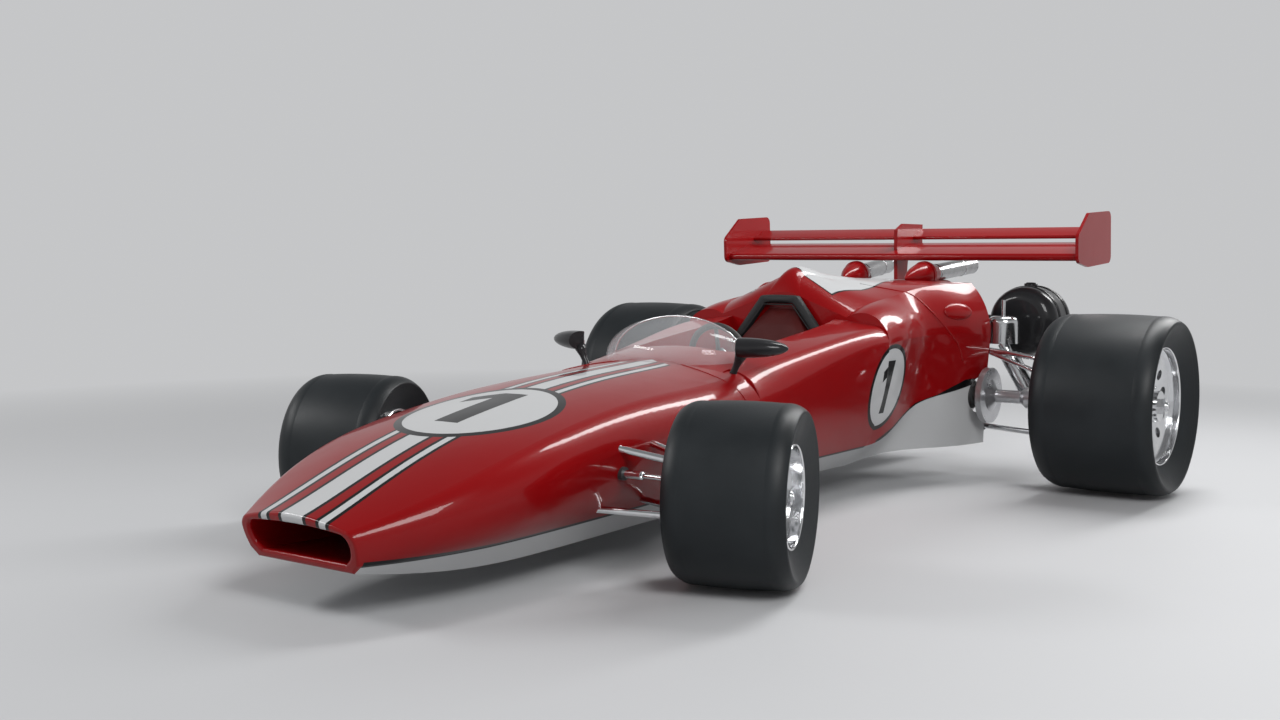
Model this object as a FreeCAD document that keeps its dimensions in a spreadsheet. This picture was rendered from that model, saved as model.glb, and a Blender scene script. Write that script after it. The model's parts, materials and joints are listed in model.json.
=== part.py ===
import FreeCAD, Part
import Sketcher
import math
import os
from FreeCAD import Vector

# Open wheel racing car, in millimetres. +Z is up, the nose points towards -Y and
# the car's left side is +X. The origin is on the floor under the middle of the car.
# "Back" sizes are measured rearwards from the front axle.

SIZES = dict(
    # running gear
    front_axle_y=-1020.0, wheelbase=2350.0,
    steer_rest=18.5, kingpin_half_track=742.0, kingpin_offset=67.0,
    front_tyre_radius=283.5, front_tyre_width=368.0, front_bead_radius=158.0,
    front_wall_radius=252.0, front_dish=33.0, front_shoulder=62.0, front_crown=8.5,
    front_shoulder_arc=72.0, front_tread_arc=1800.0, front_wall_round=9.0,
    rear_half_track=1166.0,
    rear_tyre_radius=376.5, rear_tyre_width=500.0, rear_bead_radius=243.0,
    rear_wall_radius=340.0, rear_dish=58.0, rear_shoulder=78.0, rear_crown=10.0,
    rear_shoulder_arc=92.0, rear_tread_arc=3000.0, rear_wall_round=11.0,
    front_barrel_wall=8.0, rear_barrel_wall=9.0,
    front_web_depth=96.0, front_web_wall=12.0, rear_web_depth=120.0, rear_web_wall=14.0,
    front_web_cone=26.0, rear_web_cone=38.0,
    front_hub_radius=44.0, rear_hub_radius=62.0, front_hub_stand=34.0, rear_hub_stand=52.0,
    front_hub_inset=30.0, rear_hub_inset=34.0,
    front_nut_radius=27.0, rear_nut_radius=36.0, nut_length=24.0,
    front_window_radius=14.0, rear_window_radius=21.0, window_count=10.0,
    bearing_gap=0.05, front_stub_radius=20.0, half_shaft_radius=28.0, shaft_end_gap=1.0,
    # front brakes, uprights and steering
    front_brake_radius=122.0, front_brake_wall=12.0,
    upper_joint_rise=62.0, lower_joint_rise=-83.0, upright_depth=44.0, upright_wall=36.0,
    steer_arm_reach=84.0, steer_arm_rise=16.0, steer_arm_wall=14.0, steer_arm_width=24.0,
    caliper_width=62.0, caliper_height=84.0, caliper_inner=72.0, caliper_outer=136.0,
    pad_gap=5.0, joint_gap=0.3,
    rack_height=325.0, rack_radius=13.0, rack_half_length=482.0, rack_tube_radius=21.0,
    rack_tube_half=446.0, rack_gap=0.05, tie_rod_radius=7.5, tie_eye_radius=11.0,
    tie_eye_half=9.0,
    # front links
    arm_radius=11.0, arm_anchor_half=340.0,
    upper_front_root_back=-128.0, upper_rear_root_back=88.0, upper_root_height=420.0,
    lower_front_root_back=-138.0, lower_rear_root_back=110.0, lower_root_height=214.0,
    ball_radius=17.0, ball_half=14.0,
    # rear links
    rear_upright_half=880.0, rear_upright_wall=38.0, rear_upright_radius=74.0,
    rear_post_width=52.0, rear_arm_radius=12.0, rear_link_radius=10.0,
    rear_top_height=566.0, rear_link_height=478.0, rear_low_height=205.0,
    rear_disc_half=612.0, rear_disc_wall=26.0, rear_disc_radius=122.0, disc_hat_radius=70.0,
    joint_housing_radius=46.0, joint_housing_half=806.0, joint_housing_length=86.0,
    damper_half=625.0, damper_back=2470.0, damper_can_radius=67.0, damper_can_length=122.0,
    damper_can_gap=12.0, damper_rod_radius=9.0, damper_rod_length=70.0, damper_dome=30.0,
    damper_foot_half=832.0, damper_foot_back=2490.0, damper_foot_height=232.0,
    spring_radius=40.0, strut_radius=24.0, spring_length=190.0, spring_start=60.0,
    frame_beam_radius=20.0, frame_arm_half=560.0, frame_arm_back=2426.0,
    frame_arm_height=576.0, frame_low_back=2440.0, frame_low_height=232.0,
    frame_damper_rise=50.0, frame_post_half=92.0, frame_post_wall=30.0,
    # cockpit
    cockpit_front_back=860.0, cockpit_half=250.0, cockpit_floor=150.0, cockpit_corner=95.0,
    footwell_front_back=150.0, footwell_half=185.0, footwell_top=440.0, footwell_corner=50.0,
    recess_half=306.0, recess_rear_back=716.0, recess_depth=15.0, recess_round=3.5,
    screen_back=838.0, screen_half=298.0, screen_reach=215.0, screen_rise=156.0,
    screen_base=610.0, screen_wall=5.0,
    seat_half=178.0, seat_front_back=1010.0, seat_gap=0.3, seat_top=788.0,
    pad_outer_low=235.0, pad_outer_high=88.0, pad_inner_low=180.0, pad_inner_high=66.0,
    pad_base=640.0, pad_top=826.0, pad_inner_top=790.0, pad_depth=42.0,
    seat_base_rear=1330.0, seat_base_height=225.0, seat_lumbar_back=1410.0,
    seat_lumbar_height=300.0, seat_shoulder_back=1556.0, seat_shoulder_height=700.0,
    wheel_back=1120.0, wheel_height=590.0, wheel_rim_radius=128.0, wheel_grip_radius=13.0,
    wheel_spoke_radius=8.0, column_radius=14.0, column_height=548.0,
    dash_half=150.0, dash_wall=34.0, dash_low=470.0, dash_high=612.0,
    # nose duct and radiator
    radiator_depth=52.0, lip_round=10.0,
    # rear body
    skin=7.0, shaft_hole_gap=8.0,
    deck_tail_front=2385.0, deck_tail_back=2780.0, deck_tail_half=262.0,
    deck_tail_top=874.0, deck_tail_low=790.0, deck_tail_round=60.0,
    blister_half=178.0, blister_back=2600.0, blister_height=898.0, blister_radius=60.0,
    blister_nose=165.0, blister_rim=4.0, blister_rim_length=16.0, collar_length=66.0,
    collar_wall=5.0, pipe_bore_start=20.0,
    pipe_radius=40.0, pipe_wall=4.0, pipe_end_half=228.0, pipe_end_back=3040.0,
    pipe_end_height=940.0,
    engine_half=200.0, engine_length=540.0, engine_low=175.0, engine_height=440.0,
    gearbox_half=135.0, gearbox_length=620.0, gearbox_low=200.0, gearbox_height=330.0,
    jack_pin_radius=14.0, jack_pin_length=70.0, jack_pin_height=300.0,
    final_drive_radius=88.0, final_drive_flange=100.0, final_drive_flange_wall=16.0,
    final_drive_half=515.0,
    drum_half=640.0, drum_back=2620.0, drum_height=690.0, drum_radius=158.0,
    drum_length=270.0, drum_round=60.0, drum_beam_radius=24.0, drum_beam_back=2740.0,
    # rear wing
    wing_half=905.0, wing_lead_back=2600.0, wing_lead_height=980.0,
    wing_chord=255.0, wing_pitch=16.0, wing_upper=14.0, wing_lower=20.0, wing_nose=16.0,
    wing_edge=4.0, wing_upper_arc=1500.0, wing_lower_arc=520.0, wing_nose_arc=18.0,
    flap_chord=120.0, flap_pitch=24.0, flap_upper=7.0, flap_lower=10.0, flap_nose=8.0,
    flap_edge=3.0, flap_upper_arc=900.0, flap_lower_arc=260.0, flap_nose_arc=9.0,
    flap_lead_back=2838.0, flap_lead_height=1072.0,
    plate_wall=14.0, plate_corner=34.0, pylon_wall=18.0,
    pylon_foot_front_back=2672.0, pylon_foot_rear_back=2772.0,
    # mirrors
    mirror_half=378.0, mirror_back=704.0, mirror_height=666.0, mirror_long=158.0,
    mirror_deep=52.0, mirror_tall=36.0, mirror_glass=16.0, mirror_end=22.0,
    mirror_sweep=20.0, mirror_stem_radius=9.0, mirror_stem_share=0.8,
    mirror_root_half=322.0, mirror_root_height=552.0,
)

# Body sections, front to back: how far back, half width at the waist, waist height,
# crown height, shoulder radius, then the foot of the painted side and the flat floor,
# and how far the station leans back from its crown to its floor.
HULL_COLUMNS = ("back", "half", "waist", "crown", "shoulder", "side_half", "side_low",
                "floor_half", "floor", "lean")
NOSE = (
    ("lip", -1006.0, 234.0, 226.0, 289.0, 38.0, 222.0, 168.0, 197.0, 143.0, 0.30),
    ("snout", -860.0, 318.0, 256.0, 339.0, 55.0, 276.0, 168.0, 215.0, 121.0, 0.15),
    ("cone", -560.0, 420.0, 322.0, 442.0, 88.0, 325.0, 167.0, 252.0, 95.0, 0.0),
    ("number", -250.0, 440.0, 372.0, 512.0, 108.0, 345.0, 176.0, 262.0, 90.0, 0.0),
    ("axle", 60.0, 440.0, 408.0, 560.0, 118.0, 350.0, 184.0, 262.0, 95.0, 0.10),
    ("cowl", 370.0, 440.0, 433.0, 588.0, 115.0, 350.0, 190.0, 258.0, 101.0, 0.30),
    ("seam", 658.0, 440.0, 460.0, 605.0, 112.0, 350.0, 196.0, 255.0, 108.0, 0.48),
)
TUB = (
    ("scuttle", 860.0, 442.0, 500.0, 650.0, 104.0, 352.0, 200.0, 252.0, 112.0, 0.40),
    ("waistline", 1150.0, 462.0, 565.0, 680.0, 82.0, 360.0, 204.0, 250.0, 114.0, 0.14),
    ("bulkhead", 1610.0, 495.0, 632.0, 742.0, 78.0, 392.0, 216.0, 262.0, 118.0, 0.0),
)
# Rear cover stations: the crest, the ridge beside it, the flank's outer end, the waist
# and the lower edge, then the flat floor of the tail pan below it. The face stands on
# the bulkhead and takes the rest of its outline from there.
COVER_COLUMNS = ("crest", "ridge_half", "ridge", "flank_half", "flank", "back", "half",
                 "waist", "side_half", "side_low", "floor_half", "floor")
COVER = (
    ("face", 838.0, 85.0, 818.0, 300.0, 738.0),
    ("peak", 940.0, 50.0, 908.0, 330.0, 784.0, 1710.0, 496.0, 645.0, 392.0, 222.0, 272.0, 122.0),
    ("bulge", 930.0, 66.0, 898.0, 350.0, 806.0, 1830.0, 490.0, 650.0, 402.0, 262.0, 300.0, 140.0),
    ("neck", 906.0, 90.0, 888.0, 372.0, 832.0, 1990.0, 470.0, 650.0, 430.0, 352.0, 400.0, 160.0),
    ("deck", 890.0, 110.0, 882.0, 430.0, 860.0, 2170.0, 530.0, 655.0, 515.0, 400.0, 500.0, 160.0),
    ("flare", 886.0, 116.0, 880.0, 468.0, 865.0, 2290.0, 570.0, 648.0, 556.0, 424.0, 545.0, 160.0),
    ("tail", 882.0, 120.0, 878.0, 500.0, 868.0, 2400.0, 596.0, 640.0, 580.0, 440.0, 570.0, 160.0),
)
DUCT_COLUMNS = HULL_COLUMNS
DUCT = (
    ("mouth", -1040.0, 201.0, 218.0, 257.0, 32.0, 188.0, 186.0, 166.0, 171.0, 0.30),
    ("throat", -640.0, 235.0, 240.0, 300.0, 36.0, 225.0, 180.0, 205.0, 150.0, 0.0),
)
# Corner points of the wing's end plates and of its pylon above the deck.
POINT_COLUMNS = ("back", "height")
PLATE = (
    ("plate_low_front", 2575.0, 958.0), ("plate_nose", 2568.0, 1075.0),
    ("plate_rise", 2705.0, 1178.0), ("plate_top_rear", 3000.0, 1194.0),
    ("plate_low_rear", 3016.0, 957.0), ("plate_belly", 2705.0, 938.0),
)
PYLON = (
    ("pylon_waist_rear", 2790.0, 985.0), ("pylon_tail", 2946.0, 1040.0),
    ("pylon_top_rear", 2946.0, 1142.0), ("pylon_top_front", 2740.0, 1142.0),
    ("pylon_brow", 2667.0, 1110.0), ("pylon_waist_front", 2667.0, 985.0),
)
for columns, stations in ((HULL_COLUMNS, NOSE), (HULL_COLUMNS, TUB),
                          (COVER_COLUMNS, COVER), (DUCT_COLUMNS, DUCT),
                          (POINT_COLUMNS, PLATE), (POINT_COLUMNS, PYLON)):
    for station in stations:
        for column, value in zip(columns, station[1:]):
            SIZES[station[0] + "_" + column] = value

SIDES = (("left", 1), ("right", -1))
NEAR = 1e-3        # mm within which two points or an edge and a plane are one
SKIN_NEAR = 1e-2   # mm within which a point lies on a lofted skin

doc = FreeCAD.newDocument("open_wheel_racer")
sheet = doc.addObject("Spreadsheet::Sheet", "Sizes")
for index, (name, value) in enumerate(SIZES.items(), 1):
    sheet.set("A%d" % index, name)
    sheet.set("B%d" % index, repr(value))
    sheet.setAlias("B%d" % index, name)
doc.recompute()

NODES = []


class Dim:
    """A length with the spreadsheet formula that gives it."""

    def __init__(self, value, text):
        self.value, self.text = float(value), text

    def mix(self, sign, other, result):
        text = other.text if isinstance(other, Dim) else repr(float(other))
        return Dim(result, "(%s %s %s)" % (self.text, sign, text))

    def __add__(self, other):
        return self.mix("+", other, self.value + number(other))

    def __sub__(self, other):
        return self.mix("-", other, self.value - number(other))

    def __mul__(self, other):
        return self.mix("*", other, self.value * number(other))

    def __truediv__(self, other):
        return self.mix("/", other, self.value / number(other))

    def __neg__(self):
        return self * -1.0


def number(item):
    return item.value if isinstance(item, Dim) else float(item)


def dim(name):
    return Dim(sheet.get(name), "Sizes." + name)


def size(name):
    return float(sheet.get(name))


def at_back(back):
    """The row's Y of a distance behind the front axle."""
    return size("front_axle_y") + back


def bind(item, **dims):
    for prop, value in dims.items():
        if isinstance(value, Dim):
            item.setExpression(prop, value.text)
        else:
            setattr(item, prop, value)
    return item


def node(item, label):
    item.Label = label
    NODES.append(item)
    return item


def feature(name, shape):
    item = doc.addObject("Part::Feature", name)
    item.Shape = shape
    item.Placement = FreeCAD.Placement()
    return item


def place(item, position, axis=Vector(0, 0, 1), angle=0.0):
    item.Placement = FreeCAD.Placement(position, FreeCAD.Rotation(axis, angle))
    return item


def along(item, start, end):
    """Put an item that is built along its own Z on the line from start to end."""
    turn = FreeCAD.Rotation(Vector(0, 0, 1), end - start)
    item.Placement = FreeCAD.Placement(start, turn)
    return item


def cylinder(name, start, end, radius):
    rod = doc.addObject("Part::Cylinder", name)
    bind(rod, Radius=radius)
    rod.Height = (end - start).Length
    return along(rod, start, end)


def ball(name, centre, radius):
    item = doc.addObject("Part::Sphere", name)
    bind(item, Radius=radius)
    return place(item, centre)


def box(name, length, width, height, corner):
    item = doc.addObject("Part::Box", name)
    bind(item, Length=length, Width=width, Height=height)
    return place(item, corner)


def fuse(name, items):
    item = doc.addObject("Part::MultiFuse", name)
    item.Shapes = items
    return item


def cut(name, base, tool):
    item = doc.addObject("Part::Cut", name)
    item.Base, item.Tool = base, tool
    return item


def group(name, items):
    """Solids of one kind that share a node without touching."""
    item = doc.addObject("Part::Compound", name)
    item.Links = items
    return item


# ---------------------------------------------------------------- sketches

def origin_plane(body, role):
    return [item for item in body.Origin.OriginFeatures if item.Role == role][0]


def sketch_on(body, role, name):
    sketch = body.newObject("Sketcher::SketchObject", name)
    sketch.AttachmentSupport = [(origin_plane(body, role), "")]
    sketch.MapMode = "FlatFace"
    return sketch


def arc_between(start, end, radius):
    """An arc of the given radius from start to end that bulges to the left of the way
    there for a positive radius and to the right for a negative one."""
    chord = end - start
    reach = chord.Length / 2
    across = Vector(-chord.y, chord.x, 0).normalize()
    sign = 1 if radius > 0 else -1
    offset = math.sqrt(max(radius * radius - reach * reach, 0.0))
    centre = (start + end) * 0.5 - across * sign * offset
    middle = centre + across * sign * abs(radius)
    return Part.Arc(start, middle, end)


def outline(sketch, corners):
    """Close a sketch through corners of (x, y, bulge): x and y are Dims or numbers, and
    bulge is 0 for a straight edge to the next corner, or a Dim or number for an arc."""
    points = [Vector(number(x), number(y), 0) for x, y, bulge in corners]
    count = len(points)
    edges = []
    for index, (x, y, bulge) in enumerate(corners):
        start, end = points[index], points[(index + 1) % count]
        if number(bulge):
            arc = arc_between(start, end, number(bulge))
            edges.append(sketch.addGeometry(arc, False))
        else:
            edges.append(sketch.addGeometry(Part.LineSegment(start, end), False))
    ends = []
    for index, edge in enumerate(edges):
        first = sketch.getPoint(edge, 1)
        ends.append((1, 2) if (first - points[index]).Length < NEAR else (2, 1))
    for index, edge in enumerate(edges):
        after = (index + 1) % count
        sketch.addConstraint(Sketcher.Constraint(
            "Coincident", edge, ends[index][1], edges[after], ends[after][0]))
    for index, (x, y, bulge) in enumerate(corners):
        for kind, value in (("DistanceX", x), ("DistanceY", y)):
            mark = sketch.addConstraint(Sketcher.Constraint(
                kind, -1, 1, edges[index], ends[index][0], number(value)))
            if isinstance(value, Dim):
                sketch.setExpression("Constraints[%d]" % mark, value.text)
        if number(bulge):
            mark = sketch.addConstraint(Sketcher.Constraint(
                "Radius", edges[index], abs(number(bulge))))
            if isinstance(bulge, Dim):
                text = bulge.text if bulge.value > 0 else (-bulge).text
                sketch.setExpression("Constraints[%d]" % mark, text)
    return sketch


def revolved(name, corners):
    """A PartDesign body turned about its own X axis."""
    body = doc.addObject("PartDesign::Body", name)
    sketch = outline(sketch_on(body, "XY_Plane", name + "_profile"), corners)
    turn = body.newObject("PartDesign::Revolution", name + "_turn")
    turn.Profile = sketch
    turn.ReferenceAxis = (sketch, ["H_Axis"])
    turn.Angle = 360.0
    sketch.Visibility = False
    doc.recompute()
    return body


def padded(name, corners, length, role="YZ_Plane"):
    """A PartDesign body padded both ways from an origin plane."""
    body = doc.addObject("PartDesign::Body", name)
    sketch = outline(sketch_on(body, role, name + "_profile"), corners)
    pad = body.newObject("PartDesign::Pad", name + "_pad")
    pad.Profile = sketch
    bind(pad, Length=length)
    pad.Midplane = True
    sketch.Visibility = False
    doc.recompute()
    return body


def round_edges(body, name, radius, pick):
    """Fillet the edges of a body's tip that pick chooses."""
    base = body.Tip
    names = ["Edge%d" % (index + 1) for index, edge in enumerate(base.Shape.Edges)
             if pick(edge)]
    fillet = body.newObject("PartDesign::Fillet", name)
    fillet.Base = (base, names)
    bind(fillet, Radius=radius)
    doc.recompute()
    return fillet


# ---------------------------------------------------------------- body sections

def hull_section(station, inset=0.0):
    """One closed section of the hull: crown, shoulders, sides, tucks and floor."""
    get = {column: size(station + "_" + column) for column in HULL_COLUMNS}
    half, waist = get["half"] - inset, get["waist"]
    crown, shoulder = get["crown"] - inset, get["shoulder"]
    reach, rise = half - shoulder, crown - waist
    radius = (reach ** 2 + rise ** 2 - shoulder ** 2) / (2 * (rise - shoulder))
    lean = math.atan2(reach, waist - crown + radius)

    def point(x, z):
        return Vector(x, at_back(get["back"]) + get["lean"] * (get["crown"] - z), z)

    tangent = (radius * math.sin(lean), crown - radius + radius * math.cos(lean))
    bend = (lean + math.pi / 2) / 2
    corner = (reach + shoulder * math.sin(bend), waist + shoulder * math.cos(bend))
    inward, fall = half - get["side_half"] + inset, waist - get["side_low"]
    side = (inward ** 2 + fall ** 2) / (2 * inward)
    swing = math.atan2(fall, side - inward) / 2
    belly = (half - side + side * math.cos(swing), waist - side * math.sin(swing))
    foot = (get["side_half"] - inset, get["side_low"])
    floor = (get["floor_half"] - inset, get["floor"] + inset)

    def both(one, two, sign):
        return [point(sign * one[0], one[1]), point(sign * two[0], two[1])]

    edges = [Part.Arc(point(-tangent[0], tangent[1]), point(0, crown),
                      point(*tangent)).toShape()]
    edges.append(Part.Arc(point(*tangent), point(*corner), point(half, waist)).toShape())
    edges.append(Part.Arc(point(half, waist), point(*belly), point(*foot)).toShape())
    edges.append(Part.makeLine(point(*foot), point(*floor)))
    edges.append(Part.makeLine(point(*floor), point(-floor[0], floor[1])))
    edges.append(Part.makeLine(point(-floor[0], floor[1]), point(-foot[0], foot[1])))
    edges.append(Part.Arc(point(-foot[0], foot[1]), point(-belly[0], belly[1]),
                          point(-half, waist)).toShape())
    edges.append(Part.Arc(point(-half, waist), point(-corner[0], corner[1]),
                          point(-tangent[0], tangent[1])).toShape())
    return Part.Wire(edges)


def cover_size(station, column):
    """A station's size; what the face doesn't state is the bulkhead's."""
    own = station + "_" + column
    return size(own if own in SIZES else "bulkhead_" + column)


def cover_section(station, inset=0.0, shift=0.0, deep=0.0):
    """One closed section of the rear cover, crest to lower edge."""
    get = {column: cover_size(station, column) for column in COVER_COLUMNS}
    y = at_back(get["back"]) + shift
    crest, ridge = get["crest"] - inset, (get["ridge_half"], get["ridge"] - inset)
    flank = (get["flank_half"] - inset * 0.5, get["flank"] - inset)
    half, waist = get["half"] - inset, get["waist"]
    foot = (get["side_half"] - inset, get["side_low"] - deep)
    outward, fall = half - flank[0], flank[1] - waist
    radius = (outward ** 2 + fall ** 2) / (2 * outward)
    swing = math.atan2(fall, radius - outward) / 2
    corner = (half - radius + radius * math.cos(swing), waist + radius * math.sin(swing))

    def point(x, z):
        return Vector(x, y, z)

    right = [point(*ridge), point(*flank), point(*corner), point(half, waist),
             point(*foot)]
    left = [Vector(-item.x, item.y, item.z) for item in right]
    edges = [Part.Arc(left[0], point(0, crest), right[0]).toShape(),
             Part.makeLine(right[0], right[1]),
             Part.Arc(right[1], right[2], right[3]).toShape(),
             Part.makeLine(right[3], right[4]),
             Part.makeLine(right[4], left[4]),
             Part.makeLine(left[4], left[3]),
             Part.Arc(left[3], left[2], left[1]).toShape(),
             Part.makeLine(left[1], left[0])]
    return Part.Wire(edges)


def pan_section(station, inset=0.0, lift=0.0):
    """One closed section of the tail pan below the rear cover."""
    get = {column: cover_size(station, column) for column in COVER_COLUMNS}
    y = at_back(get["back"])
    top, low = get["side_low"] + lift, get["floor"] + inset
    wide, narrow = get["side_half"] - inset, get["floor_half"] - inset
    return Part.makePolygon([Vector(wide, y, top), Vector(narrow, y, low),
                             Vector(-narrow, y, low), Vector(-wide, y, top),
                             Vector(wide, y, top)])


def loft(wires, ruled=False):
    return Part.makeLoft(wires, True, ruled)


def rounded_prism(half, front, rear, low, high, corner, taper=0.0):
    """A box with round upright corners whose sides open upwards by taper."""
    def ring(z, grow):
        x, start, end, r = half + grow, front - grow, rear, corner
        c = r * (1 - math.sqrt(0.5))
        p = [Vector(-x + r, start, z), Vector(x - r, start, z),
             Vector(x - c, start + c, z), Vector(x, start + r, z), Vector(x, end, z),
             Vector(-x, end, z), Vector(-x, start + r, z), Vector(-x + c, start + c, z)]
        return Part.Wire([Part.makeLine(p[0], p[1]), Part.Arc(p[1], p[2], p[3]).toShape(),
                          Part.makeLine(p[3], p[4]), Part.makeLine(p[4], p[5]),
                          Part.makeLine(p[5], p[6]), Part.Arc(p[6], p[7], p[0]).toShape()])
    return loft([ring(low, 0.0), ring(high, taper)], True)


# ---------------------------------------------------------------- bodywork

def nose_cone():
    outer = loft([hull_section(row[0]) for row in NOSE])
    duct = loft([hull_section(row[0]) for row in DUCT])
    well = footwell()
    hole = Part.makeCylinder(size("rack_tube_radius"), 2 * size("rack_tube_half"),
                             rack_point(-size("rack_tube_half")), Vector(1, 0, 0))
    body = outer.cut(duct)
    rims = mouth_edges(body, outer) + mouth_edges(body, duct)
    body = body.makeFillet(size("lip_round"), rims)
    body = body.cut(radiator_block()).cut(well).cut(hole)
    socket = size("arm_radius") + size("joint_gap")
    for name, side in SIDES:
        for level in ("upper", "lower"):
            for leg in ("front", "rear"):
                root, joint = arm_line(level, leg, side)
                body = body.cut(Part.makeCylinder(socket, (joint - root).Length, root,
                                                  joint - root))
    parting = at_back(size("throat_back"))
    wide = 2 * size("bulkhead_crown")
    front = Part.makeBox(2 * wide, wide, wide, Vector(-wide, parting - wide, 0))
    node(feature("nose_tip", body.common(front)), "nose_tip")
    node(feature("nose_cone", body.cut(front)), "nose_cone")
    return outer


def mouth_edges(body, skin):
    """Edges of the mouth's sloping rim that lie on one skin."""
    shell = skin.Shells[0]
    lean, top = size("lip_lean"), at_back(size("lip_back"))
    found = []
    for edge in body.Edges:
        middle = edge.valueAt((edge.FirstParameter + edge.LastParameter) / 2)
        ends = [vertex.Point for vertex in edge.Vertexes] + [middle]
        off = max(abs(point.y - top - lean * (size("lip_crown") - point.z))
                  for point in ends)
        if off < NEAR and shell.distToShape(Part.Vertex(middle))[0] < SKIN_NEAR:
            found.append(edge)
    return found


def arm_line(level, leg, side):
    """Root in the nose and outer ball joint of one leg of a front arm."""
    root = Vector(side * size("arm_anchor_half"),
                  at_back(size("%s_%s_root_back" % (level, leg))),
                  size(level + "_root_height"))
    joint = axle_point("front", side * size("kingpin_half_track"))
    joint.z += size(level + "_joint_rise")
    return root, joint


def radiator_block():
    back = Part.Face(hull_section("throat"))
    return back.extrude(Vector(0, size("radiator_depth"), 0))


def footwell():
    half, corner = size("footwell_half"), size("footwell_corner")
    front, rear = at_back(size("footwell_front_back")), at_back(size("cockpit_front_back"))
    low, high = size("cockpit_floor"), size("footwell_top")
    tunnel = Part.makeBox(2 * half, rear - front + corner, high - low,
                          Vector(-half, front, low))
    edges = [edge for edge in tunnel.Edges if edge.BoundBox.YLength > corner]
    return tunnel.makeFillet(corner, edges)


def rack_point(x):
    return Vector(x, at_back(-size("steer_arm_reach")), size("rack_height"))


def tub():
    names = ["seam"] + [row[0] for row in TUB]
    outer = loft([hull_section(name) for name in names])
    pocket = rounded_prism(size("cockpit_half"), at_back(size("cockpit_front_back")),
                           at_back(size("bulkhead_back")), size("cockpit_floor"),
                           size("peak_crest"), size("cockpit_corner"))
    core = loft([hull_section(name, size("recess_depth")) for name in names[:3]])
    body = outer
    for name, side in SIDES:
        body = body.cut(recess(side).cut(core))
    body = body.makeFillet(size("recess_round"), recess_edges(body, outer))
    body = body.cut(pocket).cut(footwell())
    socket = size("mirror_stem_radius") + size("joint_gap")
    for name, side in SIDES:
        root, head = mirror_line(side)
        body = body.cut(Part.makeCylinder(socket, (head - root).Length, root, head - root))
    node(feature("tub", body), "tub")
    return outer


def recess(side):
    """The shallow step behind the nose's rear rim, on one flank of the tub."""
    wide, tall = size("bulkhead_half"), size("bulkhead_crown")
    front, rear = at_back(size("cowl_back")), at_back(size("recess_rear_back"))
    corner = size("recess_half") if side > 0 else -size("recess_half") - wide
    return Part.makeBox(wide, rear - front, tall, Vector(corner, front, 0))


def recess_edges(body, outer):
    """Upright outer edges of the recess, where the flank begins."""
    rear = at_back(size("recess_rear_back"))
    skin = outer.Shells[0]
    found = []
    for edge in body.Edges:
        reach = edge.BoundBox
        if abs(reach.YMin - rear) + abs(reach.YMax - rear) > NEAR or reach.ZLength < 1.0:
            continue
        middle = edge.valueAt((edge.FirstParameter + edge.LastParameter) / 2)
        if skin.distToShape(Part.Vertex(middle))[0] < NEAR:
            found.append(edge)
    return found


def mirror_line(side):
    """Foot of a mirror's stem in the tub, and the middle of its head."""
    head = Vector(side * size("mirror_half"), at_back(size("mirror_back")),
                  size("mirror_height"))
    return Vector(side * size("mirror_root_half"), head.y,
                  size("mirror_root_height")), head


def windscreen(nose, body):
    half, reach, rise = size("screen_half"), size("screen_reach"), size("screen_rise")
    middle = Vector(0, at_back(size("screen_back")), size("screen_base"))

    def dome(inset):
        globe = FreeCAD.Matrix()
        globe.scale(half - inset, reach - inset, rise - inset)
        globe.move(middle)
        return Part.makeSphere(1.0).transformGeometry(globe)

    front = Part.makeBox(2 * half, reach, 2 * rise, middle - Vector(half, reach, rise))
    shell = dome(0.0).cut(dome(size("screen_wall"))).common(front).cut(nose).cut(body)
    top = max(shell.Solids, key=lambda solid: solid.BoundBox.ZMax)
    node(feature("windscreen", top), "windscreen")


def cover_hull():
    return loft([cover_section(row[0]) for row in COVER])


def cover_hollow():
    """The room inside the cover: open below and behind, walled in front."""
    names, skin = [row[0] for row in COVER], size("skin")
    room = loft([cover_section(name, skin, 0.0, skin) for name in names])
    front = at_back(size("bulkhead_back"))
    wide, tall = 2 * size("tail_half"), size("peak_crest")
    wall = Part.makeBox(2 * wide, 2 * skin, tall, Vector(-wide, front - skin, 0))
    behind = Part.Face(cover_section(names[-1], skin, -skin, skin))
    return room.cut(wall).fuse(behind.extrude(Vector(0, 3 * skin, 0)))


def engine_cover():
    skin, hollow = size("skin"), cover_hollow()
    shell = cover_hull().cut(hollow)
    shell = shell.fuse(deck_tail(0.0).cut(deck_tail(skin)).cut(hollow))
    for name, side in SIDES:
        blister, bore = blister_solids(side)
        radius, length = size("blister_radius"), size("blister_nose")
        above = Part.makeBox(4 * radius, 4 * length, 2 * radius, Vector(
            side * size("blister_half") - 2 * radius,
            at_back(size("blister_back")) - 2 * length, size("deck_tail_top") - skin / 2))
        shell = shell.fuse(blister.common(above)).cut(bore)
    node(feature("engine_cover", shell.cut(shaft_hole())), "engine_cover")


def deck_tail(inset):
    """The narrow deck behind the cover: a rounded lid, open below and behind."""
    half, top = size("deck_tail_half") - inset, size("deck_tail_top") - inset
    low, bend = size("deck_tail_low") - inset, size("deck_tail_round") - inset
    front = at_back(size("deck_tail_front")) - inset
    corner = bend * (1 - math.sqrt(0.5))

    def point(x, z):
        return Vector(x, front, z)

    wire = Part.Wire([
        Part.makeLine(point(-half, low), point(-half, top - bend)),
        Part.Arc(point(-half, top - bend), point(-half + corner, top - corner),
                 point(-half + bend, top)).toShape(),
        Part.makeLine(point(-half + bend, top), point(half - bend, top)),
        Part.Arc(point(half - bend, top), point(half - corner, top - corner),
                 point(half, top - bend)).toShape(),
        Part.makeLine(point(half, top - bend), point(half, low)),
        Part.makeLine(point(half, low), point(-half, low))])
    length = size("deck_tail_back") - size("deck_tail_front") + 2 * inset
    return Part.Face(wire).extrude(Vector(0, length, 0))


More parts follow.
